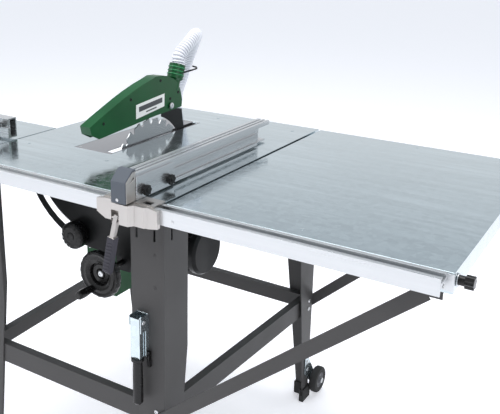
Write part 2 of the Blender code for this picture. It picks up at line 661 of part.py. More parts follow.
def hose_points():
    """Route of the small dust hose: guard collar, over, down behind the table, hopper branch."""
    lean = math.radians(-COLLAR_LEAN)
    start = Vector(COLLAR_BASE) + Vector((0, math.sin(lean), math.cos(lean))) * (COLLAR_HEIGHT + GAP)
    ahead = start + Vector((0, math.sin(lean), math.cos(lean))) * 28
    end = Vector((0, 640 + 50 + GAP, TOP - 264))
    middle = [(4, 606, 242), (-2, 646, 260), (-26, 690, 254), (-64, 728, 216), (-106, 760, 160),
              (-150, 794, 98), (-190, 826, 40), (-214, 843, -28), (-212, 848, -108), (-172, 846, -186),
              (-104, 830, -242), (-38, 794, -264), (-5, 744, -265)]
    return [start, ahead] + [Vector((x, y, TOP + z)) for x, y, z in middle] + [end + Vector((0, 25, 0)), end]


def smooth_route(points, spacing):
    """Even points on a centripetal-free Catmull-Rom curve through the route."""
    padded = [points[0] * 2 - points[1]] + points + [points[-1] * 2 - points[-2]]
    dense = []
    for a, b, c, d in zip(padded, padded[1:], padded[2:], padded[3:]):
        for i in range(20):
            t = i / 20
            dense.append(0.5 * ((2 * b) + (c - a) * t + (2 * a - 5 * b + 4 * c - d) * t * t
                                + (3 * b - a - 3 * c + d) * t ** 3))
    dense.append(points[-1])
    total = sum((q - p).length for p, q in zip(dense, dense[1:]))
    count = round(total / spacing)
    result = [dense[0]]
    walked, target = 0.0, total / count
    for p, q in zip(dense, dense[1:]):
        length = (q - p).length
        while walked + length >= target * len(result) - 1e-6 and len(result) < count:
            result.append(p.lerp(q, (target * len(result) - walked) / length))
        walked += length
    return result + [dense[-1]]


def make_hose():
    curve = bpy.data.curves.new("dust_hose", "CURVE")
    curve.dimensions = "3D"
    curve.bevel_depth = 19.0 * MM
    curve.bevel_resolution = 4
    curve.use_fill_caps = True
    route = smooth_route(hose_points(), 28.0)
    spline = curve.splines.new("POLY")
    spline.points.add(len(route) - 1)
    base = route[0]
    for point, co in zip(spline.points, route):
        point.co = (*((co - base) * MM), 1.0)
    curve.materials.append(HOSE_PLASTIC)
    hose = bpy.data.objects.new("dust_hose", curve)
    bpy.context.collection.objects.link(hose)
    hose.parent = LIFT
    hose.location = (base - Vector(LIFT["pivot"])) * MM


# ---------------------------------------------------------------- rip fence

def fence_section():
    """Section of the fence bar, (x, z): a box with two grooves on top and slots on its right."""
    x0, x1 = FENCE_X
    base, top = TOP + 4.4, TOP + 61.5
    outline = [(x0, base), (x1, base), (x1, base + 8), (x1 - 6, base + 8), (x1 - 6, base + 14),
               (x1, base + 14), (x1, base + 32), (x1 - 6, base + 32), (x1 - 6, base + 40),
               (x1, base + 40), (x1, top)]
    for groove in (x1 - 8, x0 + 15):
        outline += [(groove, top), (groove, top - 3), (groove - 5, top - 3), (groove - 5, top)]
    return outline + [(x0, top)]


def make_fence():
    x0, x1 = FENCE_X
    bar = place("fence_bar", prism(fence_section(), "Y", 8, 590), FENCE_BAR, ALUMINIUM)
    cut(bar, box((x0 + 3, -5, TOP + 7.4), (x1 - 9, 600, TOP + 55)))
    cut(bar, box((x1 - 12, 527, TOP), (x1 + 5, 600, TOP + 50)))
    make_fence_plate(x1)
    make_saddle()
    make_tower()
    for name, axis, body in (("fence_knob_front", KNOB_FRONT_AXIS, KNOB_FRONT),
                             ("fence_knob_rear", KNOB_REAR_AXIS, KNOB_REAR)):
        knob = place(name, prism(star(axis, 12.5, 2.6, 7), "X", x1 + 8, x1 + 17), body, BLACK_PLASTIC)
        add(knob, cylinder("X", axis, 8, x1 + 5 + GAP, x1 + 9, 16))


def make_fence_plate(x1):
    """Clamping plate on the bar's right side, between the two star knobs."""
    base, top = TOP + 4.4, TOP + 55
    outline = [(8, base), (142, base)] + arc((138, top - 4), 4, 0, 90, 4) + [(8, top)]
    place("fence_plate", prism(outline, "X", x1 + GAP, x1 + 5), FENCE, ALUMINIUM)


def make_saddle():
    """Cast shoe that hooks over the front rail, with two stepped wings."""
    drop = TOP - 44
    high = TOP - 2
    front = [(193, drop + 12), (216, drop), (330, drop), (353, drop + 4), (353, high), (330, high + 4),
             (216, high + 4), (193, high)]
    saddle = place("fence_saddle", prism(front, "Y", -10, -0.4), FENCE, CAST)
    add(saddle, box((208, -2, TOP + 0.5), (338, 40, TOP + 4)))
    cut(saddle, box((FENCE_X[0] - 0.5, 1.6, TOP), (FENCE_X[1] + 5.6, 45, TOP + 10)))
    step = [(238, -9), (246, -26), (289, -26), (297, -15), (322, -15), (328, -9)]
    add(saddle, prism(step, "Z", drop + 1, TOP + 2))
    x, y, z = FENCE_LEVER
    cut(saddle, box((x - 12, -30, drop - 4), (x + 8, -13, TOP - 13)))
    cut(saddle, box((304, 4, TOP + 0.1), (326, 20, TOP + 10)))


def make_tower():
    """Housing at the head of the fence, with a plastic cap on its front and sloping top."""
    low, knee, crest = TOP + 4 + GAP, TOP + 50, TOP + 70
    side = [(-24, low), (-24, knee), (-2, crest - 2), (7, crest - 2), (7, low)]
    tower = place("fence_tower", prism(side, "X", FENCE_X[0] + 6, FENCE_X[1] + 4), FENCE, CAST)
    cap = [(-28, low), (-28, knee + 1), (-4, crest + 3), (8, crest + 3), (8, crest - 2 + GAP),
           (-2.2, crest - 2 + GAP), (-24 - GAP, knee + 0.3), (-24 - GAP, low)]
    place("fence_cap", prism(cap, "X", FENCE_X[0] + 2, FENCE_X[1] + 4), FENCE, SLATE_PLASTIC)
    window = [(-13, TOP + 44), (-1, TOP + 56), (3, TOP + 56), (3, TOP + 52), (-1, TOP + 52)]
    cut(tower, prism(window, "X", FENCE_X[1] - 4, FENCE_X[1] + 10))


def make_fence_lever():
    x, y, z = FENCE_LEVER
    shank = prism([(y - 5, z + 8), (y - 7, z - 4), (y - 12, z - 44), (y - 2, z - 44), (y + 5, z - 4),
                   (y + 5, z + 6)], "X", x - 5, x + 5)
    shank = rotated(shank, FENCE_LEVER_LEAN, "Y", (x, y, z))
    lever = place("fence_lever", shank, LEVER, CAST)
    grip = [(y - 14, z - 42), (y - 15, z - 60), (y - 19, z - 122), (y - 12, z - 128), (y - 4, z - 124),
            (y + 1, z - 60), (y + 2, z - 42)]
    add(lever, rotated(prism(grip, "X", x - 9, x + 9), FENCE_LEVER_LEAN, "Y", (x, y, z)))
    cut(lever, cylinder("X", (y, z), 3.4, x - 20, x + 20, 16))
    add(bpy.data.objects["fence_saddle"], cylinder("X", (y, z), 3.0, x - 13, x + 11, 16))


# ---------------------------------------------------------------- sliding table and crosscut fence

def make_sliding_table():
    """Sliding table on a shoe that runs along a rail at the main table's left side."""
    x0, x1 = SLIDE_X
    y0, y1 = SLIDE_Y
    table = place("sliding_table", box((x0, y0, TOP - 26), (x1, y1, TOP)), SLIDE, STEEL)
    cut(table, box((x0 + 3, y0 + 3, TOP - 40), (x1 - 3, y1 - 3, TOP - 3)))
    rail = [(-374, GUIDE_Z - 20), (-334, GUIDE_Z - 20), (-334, GUIDE_Z + 20), (-374, GUIDE_Z + 20)]
    guide = place("slide_rail", prism(rail, "Y", 40, 796), FRAME, ALUMINIUM)
    cut(guide, box((-371, 30, GUIDE_Z - 17), (-337, 810, GUIDE_Z + 17)))
    arms, tabs = [], []
    for y in (180, 640):
        arms.append(box((-335, y, GUIDE_Z - 10), (MAIN_X[0] - 2, y + 40, GUIDE_Z + 10)))
        tabs.append(box((SLIDE_X[1] + 1, y, GUIDE_Z - 10), (MAIN_X[0] - GAP, y + 40, TOP - 30)))
    add(guide, merged(*arms), merged(*tabs))
    shoe = [(-384, GUIDE_Z - 16), (-374.6, GUIDE_Z - 16), (-374.6, GUIDE_Z + 20.6),
            (-333.4, GUIDE_Z + 20.6), (-333.4, GUIDE_Z + 14), (-327, GUIDE_Z + 14), (-327, TOP - 2),
            (-384, TOP - 2)]
    add(table, prism(shoe, "Y", 50, 330))


def make_crosscut_fence():
    """Aluminium fence standing across the sliding table and turning about its pivot bolt."""
    y0, y1 = 198.0, 228.0
    base, top = TOP + 5.0, TOP + 58.0
    section = [(y0, base), (y1, base), (y1, top), (y0, top), (y0, base + 36), (y0 + 6, base + 36),
               (y0 + 6, base + 28), (y0, base + 28)]
    bar = place("crosscut_bar", prism(section, "X", -760, -298), CROSS, ALUMINIUM)
    cut(bar, box((-770, y0 + 8, base + 3), (-290, y1 - 3, top - 3)))
    add(bar, box((-470, 190, TOP + GAP), (-370, 236, TOP + 6)))
    cut(bar, cylinder("Z", CROSS_PIVOT, 5.4, TOP - 20, TOP + 80, 16))
    table = bpy.data.objects["sliding_table"]
    cut(table, cylinder("Z", CROSS_PIVOT, 5.4, TOP - 20, TOP + 20, 16))
    axis = CROSS_KNOB_AXIS
    knob = place("crosscut_knob", prism(star(axis, 12.5, 2.6, 7), "Y", y0 - 34, y0 - 20), CROSS_KNOB,
                 BLACK_PLASTIC)
    add(knob, cylinder("Y", axis, 7, y0 - 21, y0 - GAP, 16))
    x, y = CROSS_PIVOT
    handle = turned("Z", (x, y), [(0, TOP - 18), (9, TOP - 18), (9, TOP - 3 - GAP), (5, TOP - 3 - GAP),
                                  (5, top + GAP), (18, top + GAP), (20, top + 6), (19, top + 22),
                                  (14, top + 27), (0, top + 27)], 20)
    place("crosscut_clamp", handle, CROSS_CLAMP, BLACK_PLASTIC)


# ---------------------------------------------------------------- leg lever and switch

def make_leg_lever():
    """Folding transport handle on the front right leg with its catch."""
    x, y, z = LEG_LEVER
    front = LEG_FRONT[2] - GAP
    bracket = place("lever_bracket", box((x - 17, front - 2, z - 26), (x + 17, front, z + 12)), FRAME, STEEL)
    cheeks = merged(box((x - 17, y - 8, z - 12), (x - 14.5, front - 1, z + 12)),
                    box((x + 14.5, y - 8, z - 26), (x + 17, front - 1, z + 12)))
    add(bracket, cheeks)
    add(bracket, cylinder("X", (y, z), 3.5, x - 19, x + 19, 16))
    add(bracket, box((x + 14.5, front - 12, z - 92), (x + 17, front, z - 20)))
    arm = place("transport_lever", prism([(y - 8, z + 8), (y - 8, z - 92), (y + 8, z - 92), (y + 8, z + 8)],
                                         "X", x - 13, x + 13), LEG_ARM, STEEL)
    cut(arm, box((x - 11, y - 5, z - 100), (x + 11, y + 20, z + 20)))
    cut(arm, cylinder("X", (y, z), 4.0, x - 30, x + 30, 16))
    grip = turned("Z", (x, y), [(0, z - 214), (8, z - 214), (12, z - 208), (12, z - 136), (11, z - 104),
                                (15, z - 100), (15, z - 94), (0, z - 94)], 24)
    add(arm, grip)
    add(arm, box((x - 11.5, y - 7, z - 96), (x + 11.5, y + 7, z - 88)))
    tx, ty, tz = TRIGGER_AXIS
    trigger = prism([(ty - 4, tz + 6), (ty - 5, tz - 10), (ty - 1, tz - 34), (ty + 7, tz - 34),
                     (ty + 5, tz - 8), (ty + 4, tz + 6)], "X", tx - 3.5, tx + 3.5)
    catch = place("lever_catch", trigger, CATCH, BLACK_PLASTIC)
    cut(catch, cylinder("X", (ty, tz), 2.2, tx - 10, tx + 10, 12))


def make_switch():
    """Start and stop switch box on the front left leg."""
    x, y, z = SWITCH_AT
    face = y - 46
    case = place("switch_box", box((x - 36, face, z - 62), (x + 36, y, z + 62)), FRAME, SLATE_PLASTIC)
    cut(case, merged(cylinder("Y", (x, z + 24), 14.4, face - 5, face + 14, 24),
                     cylinder("Y", (x, z - 24), 18.4, face - 5, face + 14, 24)))
    for name, rise, radius, colour, body in (("start_button", 24, 14, GREEN, START),
                                             ("stop_button", -24, 18, RED_PLASTIC, STOP)):
        profile = [(0, face - 6), (radius - 2, face - 6), (radius, face - 4), (radius, face + 7), (0, face + 7)]
        place(name, turned("Y", (x, z + rise), profile, 24), body, colour)


# ---------------------------------------------------------------- bodies and assembly

def main():
    make_tables()
    make_rails()
    make_rail_knob()
    make_legs()
    make_braces()
    make_struts()
    make_caster("left", LEG_REAR[0], 1, CASTER_LEFT)
    make_caster("right", LEG_REAR[1], -1, CASTER_RIGHT)
    make_tilt_plates()
    make_cradle()
    make_tilt_knob()
    make_handwheel()
    make_blade_case()
    make_drive()
    make_motor()
    make_blade()
    make_riving_knife()
    make_guard()
    make_hose()
    make_fence()
    make_fence_lever()
    make_sliding_table()
    make_crosscut_fence()
    make_leg_lever()
    make_switch()
    FRAME.location -= Vector((*FOOTPRINT_CENTRE, 0)) * MM


clear_scene()
STEEL = make_material("galvanised_steel", (0.55, 0.60, 0.63), 0.35, 0.8)
INSERT_GREY = make_material("insert_grey", (0.16, 0.16, 0.18), 0.5, 0.3)
ALUMINIUM = make_material("anodised_aluminium", (0.72, 0.73, 0.75), 0.35, 0.8)
CAST = make_material("cast_alloy", (0.50, 0.48, 0.46), 0.5, 0.6)
LEG_GREY = make_material("leg_grey", (0.10, 0.10, 0.10), 0.5)
RUBBER = make_material("black_rubber", (0.02, 0.02, 0.02), 0.7)
BLACK_STEEL = make_material("black_steel", (0.015, 0.015, 0.015), 0.4)
BLACK_PLASTIC = make_material("black_plastic", (0.03, 0.028, 0.026), 0.4)
SLATE_PLASTIC = make_material("slate_plastic", (0.08, 0.09, 0.11), 0.45)
RED_PLASTIC = make_material("red_plastic", (0.6, 0.03, 0.03), 0.4)
GREEN = make_material("green_plastic", (0.01, 0.10, 0.03), 0.4)
BLADE_STEEL = make_material("blade_steel", (0.45, 0.45, 0.45), 0.3, 0.9)
HOSE_PLASTIC = make_material("hose_plastic", (0.85, 0.85, 0.92), 0.35)

# one pivot for each moving body, with its origin on the joint's axis
FRAME = empty("frame_pivot", (0, 0, 0))
TILT = empty("tilt_pivot", (0, BLADE_Y, TOP), FRAME)
LIFT = empty("lift_pivot", (0, BLADE_Y, BLADE_Z), TILT)
ARBOR = empty("arbor_pivot", (0, BLADE_Y, BLADE_Z), LIFT)
PULLEY = empty("pulley_pivot", (PULLEY_X, *MOTOR_AXIS), LIFT)
GUARD = empty("guard_pivot", (0, *GUARD_PIVOT), LIFT)
TILT_KNOB = empty("tilt_knob_pivot", to_layout("Y", *polar(TILT_RADIUS, TILT_ANGLE), 180), TILT)
WHEEL = empty("wheel_pivot", to_layout("Y", *WHEEL_AXIS, 120), TILT)
CRANK = empty("crank_pivot", to_layout("Y", *CRANK_AXIS, 90), WHEEL)
FENCE = empty("fence_pivot", (FENCE_X[0], 0, TOP), FRAME)
FENCE_BAR = empty("fence_bar_pivot", (FENCE_X[0], 8, TOP), FENCE)
LEVER = empty("lever_pivot", FENCE_LEVER, FENCE)
KNOB_FRONT = empty("fence_knob_front_pivot", (FENCE_X[1] + 14, *KNOB_FRONT_AXIS), FENCE)
KNOB_REAR = empty("fence_knob_rear_pivot", (FENCE_X[1] + 14, *KNOB_REAR_AXIS), FENCE)
SLIDE = empty("slide_pivot", (SLIDE_X[1], SLIDE_Y[0], TOP), FRAME)
CROSS = empty("crosscut_pivot", (*CROSS_PIVOT, TOP), SLIDE)
CROSS_KNOB = empty("crosscut_knob_pivot", to_layout("Y", *CROSS_KNOB_AXIS, 180), CROSS)
CROSS_CLAMP = empty("crosscut_clamp_pivot", (*CROSS_PIVOT, TOP + 60), CROSS)
LEG_ARM = empty("leg_lever_pivot", LEG_LEVER, FRAME)
CATCH = empty("catch_pivot", TRIGGER_AXIS, FRAME)
START = empty("start_pivot", SWITCH_AT, FRAME)
STOP = empty("stop_pivot", SWITCH_AT, FRAME)
RAIL_KNOB = empty("rail_knob_pivot", (EXTENSION_X[1] + 14, *RAIL_KNOB_AXIS), FRAME)
CASTER_LEFT = empty("caster_left_pivot", (LEG_REAR[0] - 18, *CASTER_AXIS), FRAME)
CASTER_RIGHT = empty("caster_right_pivot", (LEG_REAR[1] + 18, *CASTER_AXIS), FRAME)

if __name__ == "__main__":
    main()
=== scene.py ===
"""Site table saw with sliding table, extension table, rip fence, guard and dust hose.

Each operator builds one piece, or one group of like pieces, over the loaded CAD frame.
Places are given in millimetres: right of the saw blade, behind the fence rail's front face,
and above the table top.
"""
import json
import math

import bmesh
import bpy
from mathutils import Matrix, Vector


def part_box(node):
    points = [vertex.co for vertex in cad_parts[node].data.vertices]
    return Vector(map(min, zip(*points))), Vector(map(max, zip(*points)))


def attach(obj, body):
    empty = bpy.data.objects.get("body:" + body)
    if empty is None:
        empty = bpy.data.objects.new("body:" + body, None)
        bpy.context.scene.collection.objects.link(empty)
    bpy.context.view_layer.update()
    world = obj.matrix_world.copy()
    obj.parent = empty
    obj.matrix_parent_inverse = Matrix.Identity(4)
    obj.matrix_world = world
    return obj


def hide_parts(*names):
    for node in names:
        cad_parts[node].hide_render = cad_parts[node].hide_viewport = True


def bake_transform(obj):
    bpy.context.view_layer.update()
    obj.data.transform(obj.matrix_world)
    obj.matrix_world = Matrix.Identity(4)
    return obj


bl_info = {
    "name": "Site Table Saw",
    "version": (1, 0, 0),
    "blender": (4, 5, 0),
    "location": "View3D > Sidebar > Table Saw",
    "description": "Builds the pieces of a site table saw with procedural finishes",
    "category": "Object",
}

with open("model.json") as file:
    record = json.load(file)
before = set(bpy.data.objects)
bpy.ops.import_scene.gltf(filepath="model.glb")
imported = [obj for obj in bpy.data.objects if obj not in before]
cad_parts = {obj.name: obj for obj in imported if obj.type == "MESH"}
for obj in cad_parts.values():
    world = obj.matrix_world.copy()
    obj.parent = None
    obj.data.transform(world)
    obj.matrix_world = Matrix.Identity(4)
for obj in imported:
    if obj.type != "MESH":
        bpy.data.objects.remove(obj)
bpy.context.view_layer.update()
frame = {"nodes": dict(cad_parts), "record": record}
BODY_OF = {node: body for body, nodes in frame["record"]["behaviour"]["bodies"].items() for node in nodes}
BLADE_LOW, BLADE_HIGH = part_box("saw_blade")
RAIL_LOW, RAIL_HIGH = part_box("front_rail")
ORIGIN = Vector(((BLADE_LOW[0] + BLADE_HIGH[0]) / 2, RAIL_LOW[1], RAIL_HIGH[2]))
MM = 0.001
SHARP_DEGREES = 28.0                    # an edge that turns more than this is rounded
UP, FRONT, BACK, LEFT, RIGHT = ((0, 0, 1), (0, -1, 0), (0, 1, 0), (-1, 0, 0), (1, 0, 0))

BLADE_CENTRE = (425.0, -100.0)         # y and z
BRACE_HEIGHT = -547.0
LEG_FACES = ((-292.0, 59.8, 84.0, FRONT),   # outer x, y of the face, y of the side bolts, facing
             (318.0, 59.8, 84.0, FRONT),
             (-324.0, 785.2, 761.0, BACK),
             (350.0, 785.2, 761.0, BACK))
HANDWHEEL_AXIS = (80.0, -262.0)
TILT_KNOB_AXIS = (-49.7, -207.1)
GUARD_FACE = 15.0
COLLAR_BASE = (-1.0, 541.0, 134.0)
COLLAR_LEAN = -20.0
COLLAR_HEIGHT = 58.0
FENCE_SIDE = 282.0
FENCE_LEVER = (258.0, -22.0, -31.0)
LEG_LEVER = (258.0, 38.0, -296.0)
CROSS_KNOB = (-332.0, 198.0, 37.0)
SWITCH = (-246.0, 59.0, -190.0)
CASTER = (815.0, -830.0)                # y and z
CASTER_LEGS = (("left", -324.0, -1), ("right", 350.0, 1))   # side, outer x of the leg, way out
MOTOR_AXIS = (385.0, -262.0)            # y and z
MOTOR_FINS = 30
LEVER_SLOPE = 0.158                     # how far the fence lever leans to the left as it falls
CAMERA_PLACE = (1.09934, -1.44935, 1.41312)
CAMERA_ANGLES = (31.178, 15.94, 1.111)  # round to the right, down, and roll, in degrees
CAMERA_LENS, CAMERA_SHIFT = 53.417, (0.04, -0.114)


# ---------------------------------------------------------------- settings

class SawSizes(bpy.types.PropertyGroup):
    """Sizes a user would change."""

    hose_diameter: bpy.props.FloatProperty(
        name="Hose diameter", description="Outside diameter of the dust hose", default=0.038,
        min=0.02, max=0.06, unit="LENGTH")
    hose_pitch: bpy.props.FloatProperty(
        name="Hose ring pitch", description="Distance from one ring of the hose to the next",
        default=0.0082, min=0.003, max=0.02, unit="LENGTH")
    edge_rounding: bpy.props.FloatProperty(
        name="Edge rounding", description="Factor on the width of all rounded edges", default=1.0,
        min=0.1, max=2.0)
    flake_size: bpy.props.FloatProperty(
        name="Zinc flake size", description="Size of the crystals in the zinc coating",
        default=0.012, min=0.002, max=0.05, unit="LENGTH")
    floor_size: bpy.props.FloatProperty(
        name="Floor size", description="Side of the square floor", default=90.0, min=10.0, unit="LENGTH")


class SawColours(bpy.types.PropertyGroup):
    """Colours a user would change."""

    zinc: bpy.props.FloatVectorProperty(
        name="Zinc sheet", description="Mean colour of the zinc-coated tables", subtype="COLOR",
        default=(0.53, 0.60, 0.63))
    guard: bpy.props.FloatVectorProperty(
        name="Guard", description="Green of the blade guard and hopper", subtype="COLOR",
        default=(0.003, 0.078, 0.020))
    powder: bpy.props.FloatVectorProperty(
        name="Powder coat", description="Grey of the legs and braces", subtype="COLOR",
        default=(0.062, 0.060, 0.060))
    plastic: bpy.props.FloatVectorProperty(
        name="Black plastic", description="Black of the knobs and grips", subtype="COLOR",
        default=(0.009, 0.0085, 0.0085))
    hose: bpy.props.FloatVectorProperty(
        name="Hose", description="Milky colour of the dust hose", subtype="COLOR",
        default=(0.80, 0.81, 0.86))


def sizes():
    return bpy.context.scene.saw_sizes


def colours():
    return bpy.context.scene.saw_colours


# ---------------------------------------------------------------- shader groups

class Wiring:
    """Adds nodes to a tree and links them in few words."""

    def __init__(self, tree):
        self.tree = tree
        tree.nodes.clear()

    def node(self, kind, **settings):
        made = self.tree.nodes.new(kind)
        for key, value in settings.items():
            setattr(made, key, value)
        return made

    def link(self, source, target):
        self.tree.links.new(source, target)
        return target.node

    def feed(self, socket, value):
        if isinstance(value, bpy.types.NodeSocket):
            self.tree.links.new(value, socket)
        else:
            socket.default_value = value

    def maths(self, operation, first, second=0.0, third=None):
        made = self.node("ShaderNodeMath", operation=operation)
        self.feed(made.inputs[0], first)
        self.feed(made.inputs[1], second)
        if third is not None:
            self.feed(made.inputs[2], third)
        return made.outputs[0]

    def noise(self, vector, scale, detail=3.0, roughness=0.5):
        made = self.node("ShaderNodeTexNoise")
        self.feed(made.inputs["Vector"], vector)
        self.feed(made.inputs["Scale"], scale)
        made.inputs["Detail"].default_value = detail
        made.inputs["Roughness"].default_value = roughness
        return made.outputs["Fac"]

    def stretched(self, vector, factors):
        made = self.node("ShaderNodeMapping", vector_type="POINT")
        self.feed(made.inputs["Vector"], vector)
        made.inputs["Scale"].default_value = factors
        return made.outputs["Vector"]

    def spread(self, value, low, high, to_low=0.0, to_high=1.0):
        made = self.node("ShaderNodeMapRange", interpolation_type="SMOOTHSTEP")
        self.feed(made.inputs["Value"], value)
        ends = {"From Min": low, "From Max": high, "To Min": to_low, "To Max": to_high}
        for name, number in ends.items():
            self.feed(made.inputs[name], number)
        return made.outputs["Result"]

    def blend(self, factor, first, second):
        made = self.node("ShaderNodeMix", data_type="RGBA")
        self.feed(made.inputs[0], factor)
        self.feed(made.inputs[6], first)
        self.feed(made.inputs[7], second)
        return made.outputs[2]


def shader_group(name, inputs, outputs):
    """An empty shader group with named sockets, its wiring, and its input and output nodes."""
    tree = bpy.data.node_groups.new(name, "ShaderNodeTree")
    for label, kind, default in inputs:
        socket = tree.interface.new_socket(label, in_out="INPUT", socket_type=kind)
        if default is not None:
            socket.default_value = default
    for label, kind in outputs:
        tree.interface.new_socket(label, in_out="OUTPUT", socket_type=kind)
    wiring = Wiring(tree)
    return tree, wiring, wiring.node("NodeGroupInput"), wiring.node("NodeGroupOutput")


def group_uneven_coat():
    """Slow patches and a fine grain, for paint and plastic."""
    tree, w, given, result = shader_group(
        "uneven_coat",
        [("Vector", "NodeSocketVector", None), ("Patch Scale", "NodeSocketFloat", 9.0),
         ("Grain Scale", "NodeSocketFloat", 700.0)],
        [("Patches", "NodeSocketFloat"), ("Grain", "NodeSocketFloat"), ("Dust", "NodeSocketFloat")])
    patches = w.noise(given.outputs["Vector"], given.outputs["Patch Scale"], 4.0, 0.6)
    w.link(w.spread(patches, 0.3, 0.7), result.inputs["Patches"])
    w.link(w.noise(given.outputs["Vector"], given.outputs["Grain Scale"], 2.0), result.inputs["Grain"])
    speck_scale = w.maths("MULTIPLY", given.outputs["Grain Scale"], 0.22)
    specks = w.noise(given.outputs["Vector"], speck_scale, 5.0, 0.7)
    dust = w.maths("MULTIPLY", w.spread(specks, 0.56, 0.72), w.spread(patches, 0.4, 0.75))
    w.link(dust, result.inputs["Dust"])
    return tree


def group_zinc_flakes():
    """Crystals of a zinc coating crossed by long faint rolling streaks."""
    tree, w, given, result = shader_group(
        "zinc_flakes",
        [("Vector", "NodeSocketVector", None), ("Flake Size", "NodeSocketFloat", 0.012)],
        [("Flakes", "NodeSocketFloat"), ("Streaks", "NodeSocketFloat"), ("Relief", "NodeSocketFloat")])
    scale = w.maths("DIVIDE", 1.0, given.outputs["Flake Size"])
    bend = w.node("ShaderNodeTexNoise")
    w.feed(bend.inputs["Vector"], given.outputs["Vector"])
    bend.inputs["Scale"].default_value = 34.0
    bent = w.node("ShaderNodeVectorMath", operation="MULTIPLY_ADD")
    w.link(bend.outputs["Color"], bent.inputs[0])
    bent.inputs[1].default_value = (0.012, 0.012, 0.012)
    w.link(given.outputs["Vector"], bent.inputs[2])
    cells = w.node("ShaderNodeTexVoronoi", feature="F1")
    w.link(bent.outputs[0], cells.inputs["Vector"])
    w.link(scale, cells.inputs["Scale"])
    tone = w.node("ShaderNodeSeparateColor")
    w.link(cells.outputs["Color"], tone.inputs[0])
    small = w.noise(given.outputs["Vector"], w.maths("MULTIPLY", scale, 2.4), 4.0, 0.65)
    flakes = w.maths("ADD", w.maths("MULTIPLY", tone.outputs[0], 0.55), w.maths("MULTIPLY", small, 0.45))
    w.link(flakes, result.inputs["Flakes"])
    long_streaks = w.noise(w.stretched(given.outputs["Vector"], (2.2, 46.0, 8.0)), 1.0, 5.0, 0.6)
    clouds = w.noise(given.outputs["Vector"], 3.2, 3.0, 0.55)
    w.link(w.maths("MULTIPLY", w.spread(long_streaks, 0.34, 0.68), w.spread(clouds, 0.25, 0.7)),
           result.inputs["Streaks"])
    w.link(w.maths("ADD", w.maths("MULTIPLY", tone.outputs[1], 0.6), w.maths("MULTIPLY", small, 0.4)),
           result.inputs["Relief"])
    return tree


def group_drawn_lines():
    """Fine lines left by drawing or grinding metal, along the direction least stretched."""
    tree, w, given, result = shader_group(
        "drawn_lines",
        [("Vector", "NodeSocketVector", None), ("Fineness", "NodeSocketFloat", 1.0)],
        [("Lines", "NodeSocketFloat"), ("Smudges", "NodeSocketFloat")])
    place, fineness = given.outputs["Vector"], given.outputs["Fineness"]
    w.link(w.noise(place, fineness, 4.0, 0.7), result.inputs["Lines"])
    smudges = w.noise(place, w.maths("MULTIPLY", fineness, 0.06), 3.0)
    w.link(w.spread(smudges, 0.3, 0.7), result.inputs["Smudges"])
    return tree


def group(name):
    """A shader group, built the first time that it is asked for."""
    makers = {"uneven_coat": group_uneven_coat, "zinc_flakes": group_zinc_flakes,
              "drawn_lines": group_drawn_lines}
    return bpy.data.node_groups.get(name) or makers[name]()


def fresh_material(name, metallic, gloss=0.0, specular=0.5):
    """A material, its wiring, its Principled shader and its Object coordinates."""
    material = bpy.data.materials.new(name)
    material.use_nodes = True
    w = Wiring(material.node_tree)
    shader = w.node("ShaderNodeBsdfPrincipled")
    shader.inputs["Metallic"].default_value = metallic
    shader.inputs["Coat Weight"].default_value = gloss
    shader.inputs["Specular IOR Level"].default_value = specular
    output = w.node("ShaderNodeOutputMaterial")
    w.link(shader.outputs["BSDF"], output.inputs["Surface"])
    place = w.node("ShaderNodeTexCoord").outputs["Object"]
    return material, w, shader, place


def toned(colour, factor, lift=0.0):
    """A colour made darker or lighter by a factor, no brighter than white, with full alpha."""
    return tuple(min(1.0, c * factor + lift) for c in colour) + (1.0,)


def placed_group(w, name, place, **values):
    made = w.node("ShaderNodeGroup")
    made.node_tree = group(name)
    w.link(place, made.inputs["Vector"])
    for label, value in values.items():
        made.inputs[label.replace("_", " ")].default_value = value
    return made


def raised(w, shader, height, strength, distance):
    bump = w.node("ShaderNodeBump")
    bump.inputs["Strength"].default_value = strength
    bump.inputs["Distance"].default_value = distance
    w.link(height, bump.inputs["Height"])
    w.link(bump.outputs["Normal"], shader.inputs["Normal"])


def coated(name, colour, rough=(0.38, 0.5), shade=0.78, dust=0.0, patch=9.0, grain=700.0, bump=0.12,
           gloss=0.0, metallic=0.0, depth=0.0004, specular=0.5):
    """Paint, powder coat, rubber or moulded plastic."""
    if known := bpy.data.materials.get(name):
        return known
    material, w, shader, place = fresh_material(name, metallic, gloss, specular)
    made = placed_group(w, "uneven_coat", place, Patch_Scale=patch, Grain_Scale=grain)
    tone = w.blend(made.outputs["Patches"], toned(colour, shade), (*colour, 1.0))
    settled_dust = w.maths("MULTIPLY", made.outputs["Dust"], dust)
    w.link(w.blend(settled_dust, tone, toned(colour, 1.6, 0.05)), shader.inputs["Base Color"])
    w.link(w.spread(made.outputs["Patches"], 0.0, 1.0, rough[0], rough[1]), shader.inputs["Roughness"])
    raised(w, shader, made.outputs["Grain"], bump, depth)
    return material


def drawn(name, colour, along, rough, fineness=260.0, shade=0.8):
    """Metal with fine lines along x, y or z, or without a direction when along is empty."""
    if known := bpy.data.materials.get(name):
        return known
    material, w, shader, place = fresh_material(name, 0.9)
    factors = [1.0, 1.0, 1.0]
    if along:
        factors["xyz".index(along)] = 0.02
    made = placed_group(w, "drawn_lines", w.stretched(place, factors), Fineness=fineness)
    smudges = w.maths("MULTIPLY", made.outputs["Smudges"], 0.4)
    mixed = w.maths("MULTIPLY_ADD", made.outputs["Lines"], 0.6, smudges)
    w.link(w.blend(mixed, toned(colour, shade), (*colour, 1.0)), shader.inputs["Base Color"])
    w.link(w.spread(mixed, 0.2, 0.8, rough[0], rough[1]), shader.inputs["Roughness"])
    raised(w, shader, made.outputs["Lines"], 0.05, 0.0003)
    return material


